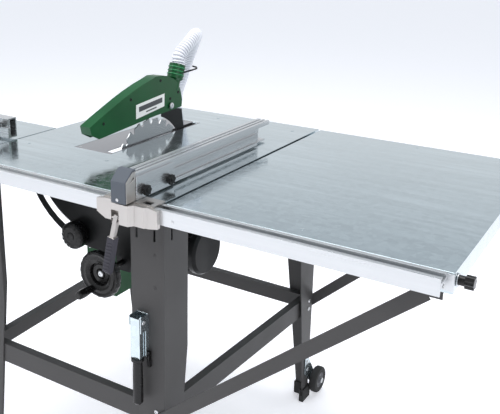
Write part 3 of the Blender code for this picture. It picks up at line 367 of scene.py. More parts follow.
def zinc_sheet():
    """Zinc-coated sheet with crystals of uneven brightness and long rolling streaks."""
    if known := bpy.data.materials.get("zinc_sheet"):
        return known
    material, w, shader, place = fresh_material("zinc_sheet", 0.95)
    made = placed_group(w, "zinc_flakes", place, Flake_Size=sizes().flake_size)
    colour = tuple(colours().zinc)
    tone = w.blend(made.outputs["Flakes"], toned(colour, 0.90), toned(colour, 1.08))
    streak = w.maths("MULTIPLY", made.outputs["Streaks"], 0.3)
    w.link(w.blend(streak, tone, toned(colour, 1.45)), shader.inputs["Base Color"])
    w.link(w.spread(made.outputs["Flakes"], 0.2, 0.8, 0.09, 0.20), shader.inputs["Roughness"])
    raised(w, shader, made.outputs["Relief"], 0.035, 0.0003)
    return material


def blade_steel():
    """Ground steel with fine rings round the blade's centre."""
    if known := bpy.data.materials.get("blade_ground_steel"):
        return known
    material, w, shader, place = fresh_material("blade_ground_steel", 1.0)
    centre = ORIGIN + Vector((0, BLADE_CENTRE[0], BLADE_CENTRE[1])) * MM
    centred = w.node("ShaderNodeMapping", vector_type="POINT")
    w.link(place, centred.inputs["Vector"])
    centred.inputs["Location"].default_value = -centre
    radius = w.node("ShaderNodeVectorMath", operation="LENGTH")
    w.link(centred.outputs["Vector"], radius.inputs[0])
    outwards = w.node("ShaderNodeCombineXYZ")
    w.link(w.maths("MULTIPLY", radius.outputs["Value"], 1800.0), outwards.inputs[0])
    rings = w.noise(outwards.outputs[0], 1.0)
    made = placed_group(w, "drawn_lines", place, Fineness=60.0)
    mixed = w.maths("MULTIPLY_ADD", rings, 0.7, w.maths("MULTIPLY", made.outputs["Smudges"], 0.3))
    w.link(w.blend(mixed, (0.26, 0.27, 0.28, 1.0), (0.50, 0.51, 0.52, 1.0)), shader.inputs["Base Color"])
    w.link(w.spread(mixed, 0.2, 0.8, 0.14, 0.30), shader.inputs["Roughness"])
    raised(w, shader, rings, 0.08, 0.0003)
    return material


def milky_plastic():
    """Half-clear white plastic, with painted shade that makes it greyer in the valleys between the hose's
    rings.
    """
    if known := bpy.data.materials.get("milky_hose_plastic"):
        return known
    material, w, shader, place = fresh_material("milky_hose_plastic", 0.0, 0.1)
    made = placed_group(w, "uneven_coat", place, Patch_Scale=16.0, Grain_Scale=900.0)
    crest = w.node("ShaderNodeAttribute", attribute_name="crest")
    colour = tuple(colours().hose)
    # painted shade: a darker, slightly bluer tone stands in for the shade that falls into the valleys
    # between the rings
    painted_groove_shade = tuple(c * f for c, f in zip(colour, (0.50, 0.49, 0.56))) + (1.0,)
    painted_valley_shade = w.blend(made.outputs["Patches"], painted_groove_shade, toned(colour, 0.62))
    # the crest value of each ring fades the painted shade out, so the ridges keep the plain milky colour
    ridge = w.spread(crest.outputs["Fac"], 0.1, 0.6)
    w.link(w.blend(ridge, painted_valley_shade, (*colour, 1.0)), shader.inputs["Base Color"])
    w.link(w.spread(made.outputs["Patches"], 0.0, 1.0, 0.30, 0.42), shader.inputs["Roughness"])
    raised(w, shader, made.outputs["Grain"], 0.04, 0.0003)
    return material


COATS = {
    "leg_powder_coat": dict(colour="powder", rough=(0.42, 0.56), shade=0.84, dust=0.12, patch=5.0,
                            grain=1500.0, bump=0.2, depth=0.0002, specular=0.25),
    "black_moulded_plastic": dict(colour="plastic", rough=(0.22, 0.34), shade=0.6, dust=0.06, patch=24.0,
                                  grain=1800.0, bump=0.10, specular=0.3),
    "guard_green_plastic": dict(colour="guard", rough=(0.28, 0.38), shade=0.75, dust=0.03, patch=7.0,
                                grain=1300.0, bump=0.06, specular=0.3),
    "black_painted_steel": dict(colour=(0.010, 0.0105, 0.011), rough=(0.30, 0.46), shade=0.6, dust=0.08,
                                patch=8.0, grain=900.0, bump=0.12, specular=0.2),
    "black_rubber": dict(colour=(0.010, 0.010, 0.011), rough=(0.55, 0.7), shade=0.7, dust=0.15,
                         patch=18.0, grain=1000.0, bump=0.25, specular=0.25),
    "slate_plastic": dict(colour=(0.020, 0.024, 0.031), rough=(0.34, 0.46), shade=0.8, dust=0.1,
                          patch=20.0, grain=1500.0, bump=0.2, specular=0.35),
    "fence_grip_plastic": dict(colour=(0.040, 0.038, 0.050), rough=(0.40, 0.55), shade=0.75, dust=0.15,
                               patch=20.0, grain=1200.0, bump=0.2, specular=0.3),
    "cast_alloy": dict(colour=(0.36, 0.345, 0.33), rough=(0.34, 0.48), shade=0.8, dust=0.2, patch=22.0,
                       grain=1300.0, bump=0.3, metallic=0.8),
    "wheel_hub_grey": dict(colour=(0.14, 0.14, 0.15), rough=(0.4, 0.5), grain=1300.0),
    "plain_white_plate": dict(colour=(0.82, 0.82, 0.80), rough=(0.3, 0.42), shade=0.94, grain=1200.0),
    "plate_bar_grey": dict(colour=(0.06, 0.065, 0.07), rough=(0.35, 0.45), grain=1200.0),
    "collar_ring_green": dict(colour=(0.02, 0.20, 0.07), rough=(0.25, 0.35), grain=1200.0, gloss=0.2),
    "start_green": dict(colour=(0.01, 0.22, 0.05), rough=(0.24, 0.34), grain=1200.0, gloss=0.3),
    "stop_red": dict(colour=(0.50, 0.012, 0.012), rough=(0.24, 0.34), grain=1200.0, gloss=0.3),
    "pale_studio_floor": dict(colour=(0.95, 0.94, 0.96), rough=(0.7, 0.8), shade=0.99, bump=0.0),
}


def coat(name):
    """One of the coats; a colour that is a name is one of the user's colours."""
    values = dict(COATS[name])
    colour = values.pop("colour")
    return coated(name, tuple(getattr(colours(), colour)) if isinstance(colour, str) else colour, **values)


def powder_coat():
    return coat("leg_powder_coat")


def black_plastic():
    return coat("black_moulded_plastic")


def black_steel():
    return coat("black_painted_steel")


def green_plastic():
    return coat("guard_green_plastic")


def rubber():
    return coat("black_rubber")


def aluminium(along="x"):
    return drawn(f"drawn_aluminium_{along}", (0.66, 0.675, 0.69), along, rough=(0.20, 0.34))


def bright_steel():
    return drawn("bright_fastener_steel", (0.66, 0.67, 0.68), "", rough=(0.18, 0.32), fineness=420.0)


# ---------------------------------------------------------------- shaping

def spot(x, y, z):
    """A point in metres from millimetres right of the blade, behind the rail and above the top."""
    return ORIGIN + Vector((x, y, z)) * MM


def finished(obj, body, covers=()):
    """Hang a piece on its body and let it stand for its CAD nodes."""
    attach(obj, body)
    if covers:
        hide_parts(*covers)
    return obj


def shaded(obj, angle=35.0):
    obj.data.shade_smooth()
    obj.data.set_sharp_from_angle(angle=math.radians(angle))
    even = obj.modifiers.new("even_normals", "WEIGHTED_NORMAL")
    even.keep_sharp = True
    return obj


def new_object(name, mesh, *materials):
    obj = bpy.data.objects.new(name, mesh)
    bpy.context.scene.collection.objects.link(obj)
    for material in materials:
        mesh.materials.append(material)
    return obj


def shape(name, bm, material, body, covers=(), ease=0.0):
    """A piece from a bmesh in layout millimetres."""
    bmesh.ops.remove_doubles(bm, verts=bm.verts, dist=0.001)
    bmesh.ops.recalc_face_normals(bm, faces=bm.faces)
    if ease:
        soften(bm, ease)
    for vert in bm.verts:
        vert.co = ORIGIN + vert.co * MM
    mesh = bpy.data.meshes.new(name)
    bm.to_mesh(mesh)
    bm.free()
    return finished(shaded(new_object(name, mesh, material)), body, covers)


def soften(bm, width, segments=2):
    """Round the sharp edges of a closed mesh."""
    sharp = [edge for edge in bm.edges
             if len(edge.link_faces) == 2 and edge.calc_face_angle(0.0) > math.radians(SHARP_DEGREES)]
    bmesh.ops.bevel(bm, geom=sharp, offset=width, offset_type="OFFSET", segments=segments, profile=0.5,
                    affect="EDGES", clamp_overlap=True)


def eased(node, material, width, zones=(), segments=2):
    """A copy of a CAD node with its triangles merged, its edges rounded and its finish put on.

    zones gives (test, material) pairs: a face whose middle passes the test, in layout
    millimetres, takes that pair's material.
    """
    bm = bmesh.new()
    bm.from_mesh(frame["nodes"][node].data)
    bmesh.ops.remove_doubles(bm, verts=bm.verts, dist=2e-6)
    bmesh.ops.dissolve_limit(bm, angle_limit=math.radians(1.0), verts=bm.verts, edges=bm.edges)
    soften(bm, width * MM * sizes().edge_rounding, segments)
    for face in bm.faces:
        middle = (face.calc_center_median() - ORIGIN) / MM
        for number, (test, _) in enumerate(zones, 1):
            if test(middle):
                face.material_index = number
    mesh = bpy.data.meshes.new(f"{node}_finished")
    bm.to_mesh(mesh)
    bm.free()
    obj = new_object(mesh.name, mesh, material, *[zone[1] for zone in zones])
    return finished(shaded(obj), BODY_OF[node], (node,))


def turned(axis, centre, profile, sides=40, lobes=0, lobe_depth=0.0, lobe_from=0.0):
    """Turn (radius, height) pairs round an axis; lobes scallop what lies beyond a radius."""
    bm = bmesh.new()
    along = "XYZ".index(axis)
    first, second = [i for i in range(3) if i != along]
    rings = []
    for radius, height in profile:
        ring = []
        for i in range(sides if radius > 0 else 1):
            angle = 2 * math.pi * i / sides
            reach = radius
            if lobes and radius > lobe_from:
                reach -= lobe_depth * (0.5 - 0.5 * math.cos(angle * lobes))
            co = [0.0, 0.0, 0.0]
            co[along] = height
            co[first] = centre[0] + reach * math.cos(angle)
            co[second] = centre[1] + reach * math.sin(angle)
            ring.append(bm.verts.new(co))
        rings.append(ring)
    for low, high in zip(rings, rings[1:]):
        for i in range(sides):
            j = (i + 1) % sides
            if len(low) == 1 and len(high) > 1:
                bm.faces.new((low[0], high[i], high[j]))
            elif len(high) == 1 and len(low) > 1:
                bm.faces.new((low[i], low[j], high[0]))
            elif len(low) > 1:
                bm.faces.new((low[i], low[j], high[j], high[i]))
    return bm


def slab(outline, axis, low, high):
    """Extrude a flat outline along an axis."""
    bm = bmesh.new()
    along = "XYZ".index(axis)
    first, second = [i for i in range(3) if i != along]
    ends = []
    for height in (low, high):
        ring = []
        for u, v in outline:
            co = [0.0, 0.0, 0.0]
            co[along], co[first], co[second] = height, u, v
            ring.append(bm.verts.new(co))
        ends.append(ring)
    bm.faces.new(ends[0])
    bm.faces.new(ends[1][::-1])
    for i in range(len(outline)):
        j = (i + 1) % len(outline)
        bm.faces.new((ends[0][j], ends[0][i], ends[1][i], ends[1][j]))
    return bm


def joined(*shapes):
    """Several closed shapes as one mesh."""
    whole = bmesh.new()
    for part in shapes:
        mesh = bpy.data.meshes.new("part")
        part.to_mesh(mesh)
        part.free()
        whole.from_mesh(mesh)
        bpy.data.meshes.remove(mesh)
    return whole


def leaning(bm, degrees, pivot):
    """Lean a shape about the x axis through a point."""
    bmesh.ops.rotate(bm, verts=bm.verts, cent=Vector(pivot),
                     matrix=Matrix.Rotation(math.radians(degrees), 3, "X"))
    return bm


# ---------------------------------------------------------------- geometry nodes

def geometry_tree(name, inputs):
    """A geometry tree with named inputs; returns it, its wiring, the ends and the identifiers."""
    tree = bpy.data.node_groups.new(name, "GeometryNodeTree")
    tree.interface.new_socket("Geometry", in_out="INPUT", socket_type="NodeSocketGeometry")
    identifiers = {}
    for label, kind, default in inputs:
        socket = tree.interface.new_socket(label, in_out="INPUT", socket_type=kind)
        if default is not None:
            socket.default_value = default
        identifiers[label] = socket.identifier
    tree.interface.new_socket("Geometry", in_out="OUTPUT", socket_type="NodeSocketGeometry")
    wiring = Wiring(tree)
    return tree, wiring, wiring.node("NodeGroupInput"), wiring.node("NodeGroupOutput"), identifiers


def close_tree(w, source, given, result):
    """Realize the instances, give them the material and put them out."""
    real = w.link(source, w.node("GeometryNodeRealizeInstances").inputs[0])
    dressed = w.node("GeometryNodeSetMaterial")
    w.link(real.outputs[0], dressed.inputs["Geometry"])
    w.link(given.outputs["Material"], dressed.inputs["Material"])
    w.link(dressed.outputs[0], result.inputs[0])


def stepped(w, mesh, chosen, rise, scale, apart=False):
    """Push the chosen faces out by a rise and scale their tops; returns the mesh and the tops."""
    grown = w.node("GeometryNodeExtrudeMesh", mode="FACES")
    w.link(mesh, grown.inputs["Mesh"])
    if chosen:
        w.link(chosen, grown.inputs["Selection"])
    grown.inputs["Offset Scale"].default_value = rise
    grown.inputs["Individual"].default_value = apart
    sized = w.node("GeometryNodeScaleElements", domain="FACE")
    w.link(grown.outputs["Mesh"], sized.inputs["Geometry"])
    w.link(grown.outputs["Top"], sized.inputs["Selection"])
    sized.inputs["Scale"].default_value = scale
    return sized.outputs[0], grown.outputs["Top"]


def point_value(w, name, kind):
    """A value stored on the points."""
    made = w.node("GeometryNodeInputNamedAttribute", data_type=kind)
    made.inputs["Name"].default_value = name
    return made.outputs["Attribute"]


def set_on_points(w, given, item, scale=None):
    """Put an item on every point, its Z turned to the point's facing."""
    turn = w.node("FunctionNodeAlignRotationToVector", axis="Z")
    w.link(point_value(w, "facing", "FLOAT_VECTOR"), turn.inputs["Vector"])
    points = w.node("GeometryNodeMeshToPoints")
    w.link(given.outputs["Geometry"], points.inputs["Mesh"])
    put = w.node("GeometryNodeInstanceOnPoints")
    w.link(points.outputs[0], put.inputs["Points"])
    w.link(item, put.inputs["Instance"])
    w.link(turn.outputs[0], put.inputs["Rotation"])
    if scale:
        w.link(scale, put.inputs["Scale"])
    return put.outputs[0]


def socketed_head(w):
    """One unit screw head on +Z: a chamfered disc with a round recess."""
    disc = w.node("GeometryNodeMeshCylinder")
    disc.inputs["Vertices"].default_value = 18
    disc.inputs["Radius"].default_value = 1.0
    disc.inputs["Depth"].default_value = 0.5
    up = w.node("GeometryNodeInputNormal")
    part = w.node("ShaderNodeSeparateXYZ")
    w.link(up.outputs[0], part.inputs[0])
    top = w.node("FunctionNodeCompare", data_type="FLOAT", operation="GREATER_THAN")
    w.link(part.outputs["Z"], top.inputs[0])
    top.inputs[1].default_value = 0.9
    mesh, chosen = disc.outputs["Mesh"], top.outputs[0]
    for rise, scale in ((0.22, 0.80), (0.0, 0.55), (-0.30, 0.92)):
        mesh, chosen = stepped(w, mesh, chosen, rise, scale)
    return mesh


def tree_screw_heads():
    """Sets a screw head on every point, turned to the point's facing and scaled to its size."""
    tree, w, given, result, ids = geometry_tree(
        "screw_heads", [("Height", "NodeSocketFloat", 0.6), ("Material", "NodeSocketMaterial", None)])
    size = point_value(w, "size", "FLOAT")
    scale = w.node("ShaderNodeCombineXYZ")
    w.link(size, scale.inputs[0])
    w.link(size, scale.inputs[1])
    w.link(w.maths("MULTIPLY", size, given.outputs["Height"]), scale.inputs[2])
    close_tree(w, set_on_points(w, given, socketed_head(w), scale.outputs[0]), given, result)
    return tree, ids


def tree_bars():
    """Sets a small chamfered bar on every point, its length along the point's facing."""
    tree, w, given, result, ids = geometry_tree(
        "set_of_bars", [("Bar Size", "NodeSocketVector", (0.004, 0.004, 0.01)),
                        ("Material", "NodeSocketMaterial", None)])
    cube = w.node("GeometryNodeMeshCube")
    w.link(given.outputs["Bar Size"], cube.inputs["Size"])
    bar, _ = stepped(w, cube.outputs["Mesh"], None, 0.0004, 0.82, apart=True)
    close_tree(w, set_on_points(w, given, bar), given, result)
    return tree, ids


def tree_ribbed_tube():
    """A tube along a line of points whose radius rises and falls in even rings."""
    tree, w, given, result, ids = geometry_tree(
        "ribbed_tube", [("Radius", "NodeSocketFloat", 0.0175), ("Ring Height", "NodeSocketFloat", 0.0015),
                        ("Ring Pitch", "NodeSocketFloat", 0.008), ("Sides", "NodeSocketInt", 24),
                        ("Step", "NodeSocketFloat", 0.0014), ("Material", "NodeSocketMaterial", None)])
    line = w.node("GeometryNodeMeshToCurve")
    w.link(given.outputs["Geometry"], line.inputs["Mesh"])
    even = w.node("GeometryNodeResampleCurve", mode="LENGTH")
    w.link(line.outputs[0], even.inputs["Curve"])
    w.link(given.outputs["Step"], even.inputs["Length"])
    along = w.node("GeometryNodeSplineParameter")
    turns = w.maths("DIVIDE", along.outputs["Length"], given.outputs["Ring Pitch"])
    wave = w.maths("MULTIPLY_ADD", w.maths("COSINE", w.maths("MULTIPLY", turns, 2 * math.pi)), 0.5, 0.5)
    crest = w.maths("MULTIPLY", w.maths("SUBTRACT", w.maths("POWER", wave, 0.7), 0.5), 2.0)
    radius = w.maths("MULTIPLY_ADD", crest, given.outputs["Ring Height"], given.outputs["Radius"])
    circle = w.node("GeometryNodeCurvePrimitiveCircle", mode="RADIUS")
    w.link(given.outputs["Sides"], circle.inputs["Resolution"])
    circle.inputs["Radius"].default_value = 1.0
    kept = w.node("GeometryNodeCaptureAttribute", domain="POINT")
    kept.capture_items.new("FLOAT", "Crest")
    w.link(even.outputs[0], kept.inputs["Geometry"])
    w.link(wave, kept.inputs["Crest"])
    skin = w.node("GeometryNodeCurveToMesh")
    w.link(kept.outputs["Geometry"], skin.inputs["Curve"])
    w.link(circle.outputs["Curve"], skin.inputs["Profile Curve"])
    w.link(radius, skin.inputs["Scale"])
    skin.inputs["Fill Caps"].default_value = True
    # the crest value is kept on the mesh so that the hose material can paint shade into the valleys between
    # the rings
    noted = w.node("GeometryNodeStoreNamedAttribute", data_type="FLOAT", domain="POINT")
    noted.inputs["Name"].default_value = "crest"
    w.link(skin.outputs[0], noted.inputs["Geometry"])
    w.link(kept.outputs["Crest"], noted.inputs["Value"])
    close_tree(w, noted.outputs[0], given, result)
    return tree, ids


TREES = {}


def geometry_piece(name, maker, seed_mesh, body, slot=None, angle=35.0, **values):
    """Run a geometry tree over a seed mesh and keep the result as a plain piece."""
    if maker.__name__ not in TREES:
        TREES[maker.__name__] = maker()
    tree, identifiers = TREES[maker.__name__]
    seed = new_object(f"{name}_seed", seed_mesh)
    modifier = seed.modifiers.new("build", "NODES")
    modifier.node_group = tree
    for label, value in values.items():
        modifier[identifiers[label.replace("_", " ")]] = value
    graph = bpy.context.evaluated_depsgraph_get()
    mesh = bpy.data.meshes.new_from_object(seed.evaluated_get(graph), depsgraph=graph)
    mesh.name = name
    bpy.data.objects.remove(seed)
    bm = bmesh.new()
    bm.from_mesh(mesh)
    bmesh.ops.remove_doubles(bm, verts=bm.verts, dist=1e-7)
    bmesh.ops.recalc_face_normals(bm, faces=bm.faces)
    bm.to_mesh(mesh)
    bm.free()
    obj = new_object(name, mesh)
    if not mesh.materials:
        mesh.materials.append(values["Material"])
    shaded(obj, angle)
    return finished(obj, body, ()) if body else obj


def marked_points(name, rows):
    """A mesh of loose points, each with a facing and a size: (place, facing, size in mm)."""
    mesh = bpy.data.meshes.new(name)
    mesh.from_pydata([spot(*place) for place, _, _ in rows], [], [])
    mesh.attributes.new("facing", "FLOAT_VECTOR", "POINT")
    mesh.attributes.new("size", "FLOAT", "POINT")
    for i, (_, direction, width) in enumerate(rows):
        mesh.attributes["facing"].data[i].vector = Vector(direction).normalized()
        mesh.attributes["size"].data[i].value = width * MM
    return mesh


def screws(name, body, rows, material=None, height=0.6, slot=None):
    return geometry_piece(name, tree_screw_heads, marked_points(name, rows), body, slot, angle=30.0,
                          Height=height, Material=material or bright_steel())


def bars(name, body, rows, size, material, slot=None):
    return geometry_piece(name, tree_bars, marked_points(name, rows), body, slot, angle=30.0,
                          Bar_Size=tuple(side * MM for side in size), Material=material)


# ---------------------------------------------------------------- operators

class BuildOperator:
    """What every building operator shares: it runs the class's own build."""

    bl_options = {"REGISTER", "UNDO"}

    def execute(self, context):
        self.build(context)
        return {"FINISHED"}


class SAW_OT_view(BuildOperator, bpy.types.Operator):
    """Place the camera at standing height, front right of the saw"""

    bl_idname = "saw.view"
    bl_label = "Camera"

    def build(self, context):
        azimuth, pitch, roll = (math.radians(angle) for angle in CAMERA_ANGLES)
        ahead = Vector((-math.sin(azimuth) * math.cos(pitch), math.cos(azimuth) * math.cos(pitch),
                        -math.sin(pitch)))
        right = Vector((math.cos(azimuth), math.sin(azimuth), 0))
        up = right.cross(ahead)
        side = right * math.cos(roll) + up * math.sin(roll)
        over = up * math.cos(roll) - right * math.sin(roll)
        lens = bpy.data.cameras.new("saw_camera")
        lens.sensor_width = 36.0
        lens.lens = CAMERA_LENS
        lens.shift_x, lens.shift_y = CAMERA_SHIFT
        lens.clip_end = 200.0
        camera = bpy.data.objects.new("saw_camera", lens)
        context.scene.collection.objects.link(camera)
        turn = Matrix((side, over, -ahead)).transposed().to_4x4()
        camera.matrix_world = Matrix.Translation(CAMERA_PLACE) @ turn
        context.scene.camera = camera


HOSE_ROUTE = [(4, 606, 242), (-2, 646, 260), (-26, 690, 254), (-64, 728, 216), (-106, 760, 160),
              (-150, 794, 98), (-190, 826, 40), (-214, 843, -28), (-212, 848, -108), (-172, 846, -186),
              (-104, 830, -242), (-38, 794, -264), (-5, 744, -265)]


def hose_line(spacing):
    """Even points on one smooth curve from the guard's collar to the hopper's branch."""
    lean = math.radians(-COLLAR_LEAN)
    rise = Vector((0, math.sin(lean), math.cos(lean)))
    start = Vector(COLLAR_BASE) + rise * (COLLAR_HEIGHT + 0.3)
    end = Vector((0, 690.3, -264))
    points = [start, start + rise * 28] + [Vector(p) for p in HOSE_ROUTE] + [end + Vector((0, 25, 0)), end]
    padded = [points[0] * 2 - points[1]] + points + [points[-1] * 2 - points[-2]]
    dense = []
    for a, b, c, d in zip(padded, padded[1:], padded[2:], padded[3:]):
        for i in range(20):
            t = i / 20
            dense.append(0.5 * ((2 * b) + (c - a) * t + (2 * a - 5 * b + 4 * c - d) * t * t
                                + (3 * b - a - 3 * c + d) * t ** 3))
    dense.append(points[-1])
    total = sum((q - p).length for p, q in zip(dense, dense[1:]))
    count = round(total / spacing)
    line = [dense[0]]
    walked, target = 0.0, total / count
    for p, q in zip(dense, dense[1:]):
        length = (q - p).length
        while walked + length >= target * len(line) - 1e-6 and len(line) < count:
            line.append(p.lerp(q, (target * len(line) - walked) / length))
        walked += length
    return [spot(*p) for p in line + [dense[-1]]]


class SAW_OT_hose(BuildOperator, bpy.types.Operator):
    """Build the ribbed dust hose from the guard to the hopper"""

    bl_idname = "saw.hose"
    bl_label = "Dust hose"

    def build(self, context):
        line = hose_line(28.0)
        seed = bpy.data.meshes.new("hose_route")
        fine = hose_line(6.0)
        seed.from_pydata(fine, [(i, i + 1) for i in range(len(fine) - 1)], [])
        width = sizes().hose_diameter
        hose = geometry_piece("dust_hose_ribbed", tree_ribbed_tube, seed, None, angle=80.0,
                              Radius=width / 2 - 0.0016, Ring_Height=0.0016, Ring_Pitch=sizes().hose_pitch,
                              Material=milky_plastic())
        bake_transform(hose)
        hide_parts("dust_hose")


class SAW_OT_tables(BuildOperator, bpy.types.Operator):
    """Finish the main, extension and sliding tables and the blade insert"""

    bl_idname = "saw.tables"
    bl_label = "Tables"

    def build(self, context):
        for node in ("main_table", "extension_table", "sliding_table"):
            eased(node, zinc_sheet(), 1.4, segments=3)
        insert = drawn("insert_dark_steel", (0.30, 0.305, 0.325), "y", rough=(0.08, 0.16), shade=0.85)
        eased("table_insert", insert, 0.6)
        rows = [((x, y, -0.4), UP, 5.2) for x, y in ((38, 204), (23, 742), (281, 735), (285, 199),
                                                     (-233, 210), (-233, 742))]
        rows += [((640, y, -0.4), UP, 4.6) for y in (70, 770)]
        screws("table_screws", "frame", rows, zinc_sheet(), 0.35, "galvanised_steel")
        screws("insert_screws", "frame", [((-100, 262, -0.6), UP, 4.0), ((-100, 654, -0.6), UP, 4.0),
                                          ((2, 258, -0.6), UP, 3.2), ((2, 658, -0.6), UP, 3.2)],
               None, 0.4, "blade_steel")


class SAW_OT_rails(BuildOperator, bpy.types.Operator):
    """Finish the fence rails with their joiner, end plate and knob"""

    bl_idname = "saw.rails"
    bl_label = "Fence rails"

    def build(self, context):
        for node in ("front_rail", "extension_rail"):
            eased(node, aluminium("x"), 0.5)
        joiner = slab([(326, 11.5), (364, 11.5), (364, 16), (348, 16), (348, 24), (342, 24), (342, 16),
                       (326, 16)], "Z", -8.8, -1.4)
        shape("rail_joiner", joiner, black_plastic(), "frame", ease=0.5)
        eased("rail_end_knob", black_plastic(), 1.0)
        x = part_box("rail_end_knob")[0][0] - ORIGIN.x
        washer = turned("X", (58, -20), [(4.6, x / MM + 0.5), (11.5, x / MM + 0.5), (11.5, x / MM + 2.2),
                                         (9.4, x / MM + 2.6), (9.4, x / MM + 1.4)])
        shape("rail_knob_washer", washer, aluminium("y"), "rail_end_knob")
        screws("rail_end_screws", "frame", [((927.3, 17, -20), RIGHT, 4.6), ((-287.3, 17, -20), LEFT, 4.6),
                                            ((300, -0.2, -20), FRONT, 3.2), ((384, -0.2, -20), FRONT, 3.2)],
               None, 0.5, "blade_steel")


class SAW_OT_legs(BuildOperator, bpy.types.Operator):
    """Finish the legs, feet, braces and struts and set their bolts"""

    bl_idname = "saw.legs"
    bl_label = "Legs and braces"

    def build(self, context):
        for corner in ("front_left", "front_right", "rear_left", "rear_right"):
            eased(f"leg_{corner}", powder_coat(), 0.9)
            eased(f"foot_{corner}", rubber(), 1.6, segments=3)
        for node in ("brace_front", "brace_rear", "brace_left", "brace_right", "strut_front", "strut_rear"):
            eased(node, powder_coat(), 0.8)
        rows = []
        for x, face, middle, facing in LEG_FACES:
            inward = 1 if x < 0 else -1
            for height in (BRACE_HEIGHT - 14, BRACE_HEIGHT + 14):
                rows.append(((x + inward * 24, face, height), facing, 6.0))
                rows.append(((x - inward * 0.2, middle, height), (-inward, 0, 0), 6.0))
        screws("brace_bolts", "frame", rows, bright_steel(), 0.8, "galvanised_steel")
        rows = [((x, 59.8, z), FRONT, 4.4) for x in (292.0, -266.0) for z in (-138.0, -217.0)]
        screws("leg_rivets", "frame", rows, powder_coat(), 0.5, "leg_grey")


class SAW_OT_casters(BuildOperator, bpy.types.Operator):
    """Build the two transport wheels and finish their brackets"""

    bl_idname = "saw.casters"
    bl_label = "Transport wheels"

    def build(self, context):
        y, z = CASTER
        for side, x, out in CASTER_LEGS:
            body = f"wheel_{side}"
            eased(f"caster_bracket_{side}", zinc_sheet(), 0.6)
            a, b = x + out * 7.0, x + out * 31.0
            low, high = min(a, b), max(a, b)
            tread, hub = [], []
            for profile, half in ((tread, ((24, 1), (34, 0), (38.5, 0.6), (41, 3), (42, 8))),
                                  (hub, ((6.4, 1), (11, 0.4), (12, 5), (20, 6), (23.9, 2)))):
                profile += [(radius, low + inset) for radius, inset in half]
                profile += [(radius, high - inset) for radius, inset in half[::-1]] + [profile[0]]
            shape(f"caster_tyre_{side}", turned("X", (y, z), tread, 48), rubber(), body, (body,))
            shape(f"caster_hub_{side}", turned("X", (y, z), hub, 40), coat("wheel_hub_grey"), body)
            rows = [((x + out * 33.6, y, z), (out, 0, 0), 8.5),
                    ((x + out * 3.8, 762, -745), (out, 0, 0), 5.5),
                    ((x + out * 3.8, 768, -776), (out, 0, 0), 5.5)]
            screws(f"caster_bolts_{side}", "frame", rows, bright_steel(), 0.8, "blade_steel")


class SAW_OT_tilt(BuildOperator, bpy.types.Operator):
    """Finish the tilting frame, its guide plates and the clamping knob"""

    bl_idname = "saw.tilt"
    bl_label = "Tilt unit"

    def build(self, context):
        for node in ("tilt_plate_front", "tilt_plate_rear", "tilt_cradle"):
            eased(node, black_steel(), 0.5)
        eased("tilt_knob", black_plastic(), 0.6)
        rim = turned("Y", TILT_KNOB_AXIS, [(20, 157.6), (25, 156.6), (33, 160), (35.8, 166), (35.8, 182),
                                           (33.5, 188.2), (30, 188.6)],
                     96, lobes=16, lobe_depth=1.6, lobe_from=30)
        cap = turned("Y", TILT_KNOB_AXIS, [(0, 155.8), (9, 155.8), (11, 156.8), (11.5, 159)], 32)
        shape("tilt_knob_rim", joined(rim, cap), black_plastic(), "tilt_knob")
        screws("tilt_plate_bolts", "frame", [((x, 195.8, -22), FRONT, 5) for x in (-200, -60, 110)],
               black_steel(), 0.7, "black_steel")


class SAW_OT_wheel(BuildOperator, bpy.types.Operator):
    """Build the lift handwheel and its crank grip"""

    bl_idname = "saw.wheel"
    bl_label = "Lift handwheel"

    def build(self, context):
        eased("handwheel", black_plastic(), 0.8)
        eased("crank_grip", black_plastic(), 0.6)
        rim = [(48, 112.4), (54, 110.6), (58.6, 113), (60.8, 119), (60.8, 126), (57.5, 131), (52, 132.6)]
        scalloped = turned("Y", HANDWHEEL_AXIS, rim, 120, lobes=20, lobe_depth=1.2, lobe_from=56)
        ring = turned("Y", HANDWHEEL_AXIS, [(12.5, 124.8), (14, 122.6), (24, 122.4), (25.5, 124.6)], 48)
        shape("handwheel_rim", joined(scalloped, ring), black_plastic(), "handwheel")
        screws("handwheel_nut", "handwheel", [((HANDWHEEL_AXIS[0], 122.0, HANDWHEEL_AXIS[1]), FRONT, 7.5)],
               bright_steel(), 0.6, "blade_steel")


class SAW_OT_drive(BuildOperator, bpy.types.Operator):
    """Finish the blade case, hopper, carriage, arbor, belt and motor"""

    bl_idname = "saw.drive"
    bl_label = "Blade case and motor"

    def build(self, context):
        eased("blade_case", black_steel(), 0.6)
        eased("dust_hopper", green_plastic(), 1.6, segments=3)
        eased("lift_carriage", black_steel(), 0.5)
        eased("arbor", bright_steel(), 0.5)
        eased("motor_pulley", bright_steel(), 0.4)
        eased("drive_belt", rubber(), 0.4)
        eased("motor", black_steel(), 1.0)
        rows = []
        low, high = [(Vector(corner) - ORIGIN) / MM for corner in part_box("motor")]
        y, z = MOTOR_AXIS
        radius = (high.z - low.z) / 2 - 3.0
        for i in range(MOTOR_FINS):
            angle = 2 * math.pi * i / MOTOR_FINS
            away = (0, math.cos(angle), math.sin(angle))
            middle = ((low.x + high.x) / 2, y + away[1] * radius, z + away[2] * radius)
            rows.append((middle, away, 1.0))
        bars("motor_fins", "lift_unit", rows, ((high.x - low.x) * 0.66, 2.4, 4.0), black_steel(),
             "black_steel")
        rows = [((x, 213.7, z), FRONT, 4.2) for z in (-250, -360) for x in (-36, 32)]
        screws("hopper_screws", "lift_unit", rows, None, 0.7, "blade_steel")


class SAW_OT_blade(BuildOperator, bpy.types.Operator):
    """Finish the saw blade and the riving knife"""

    bl_idname = "saw.blade"
    bl_label = "Saw blade"

    def build(self, context):
        eased("saw_blade", blade_steel(), 0.12, segments=1)
        eased("riving_knife", black_steel(), 0.3)


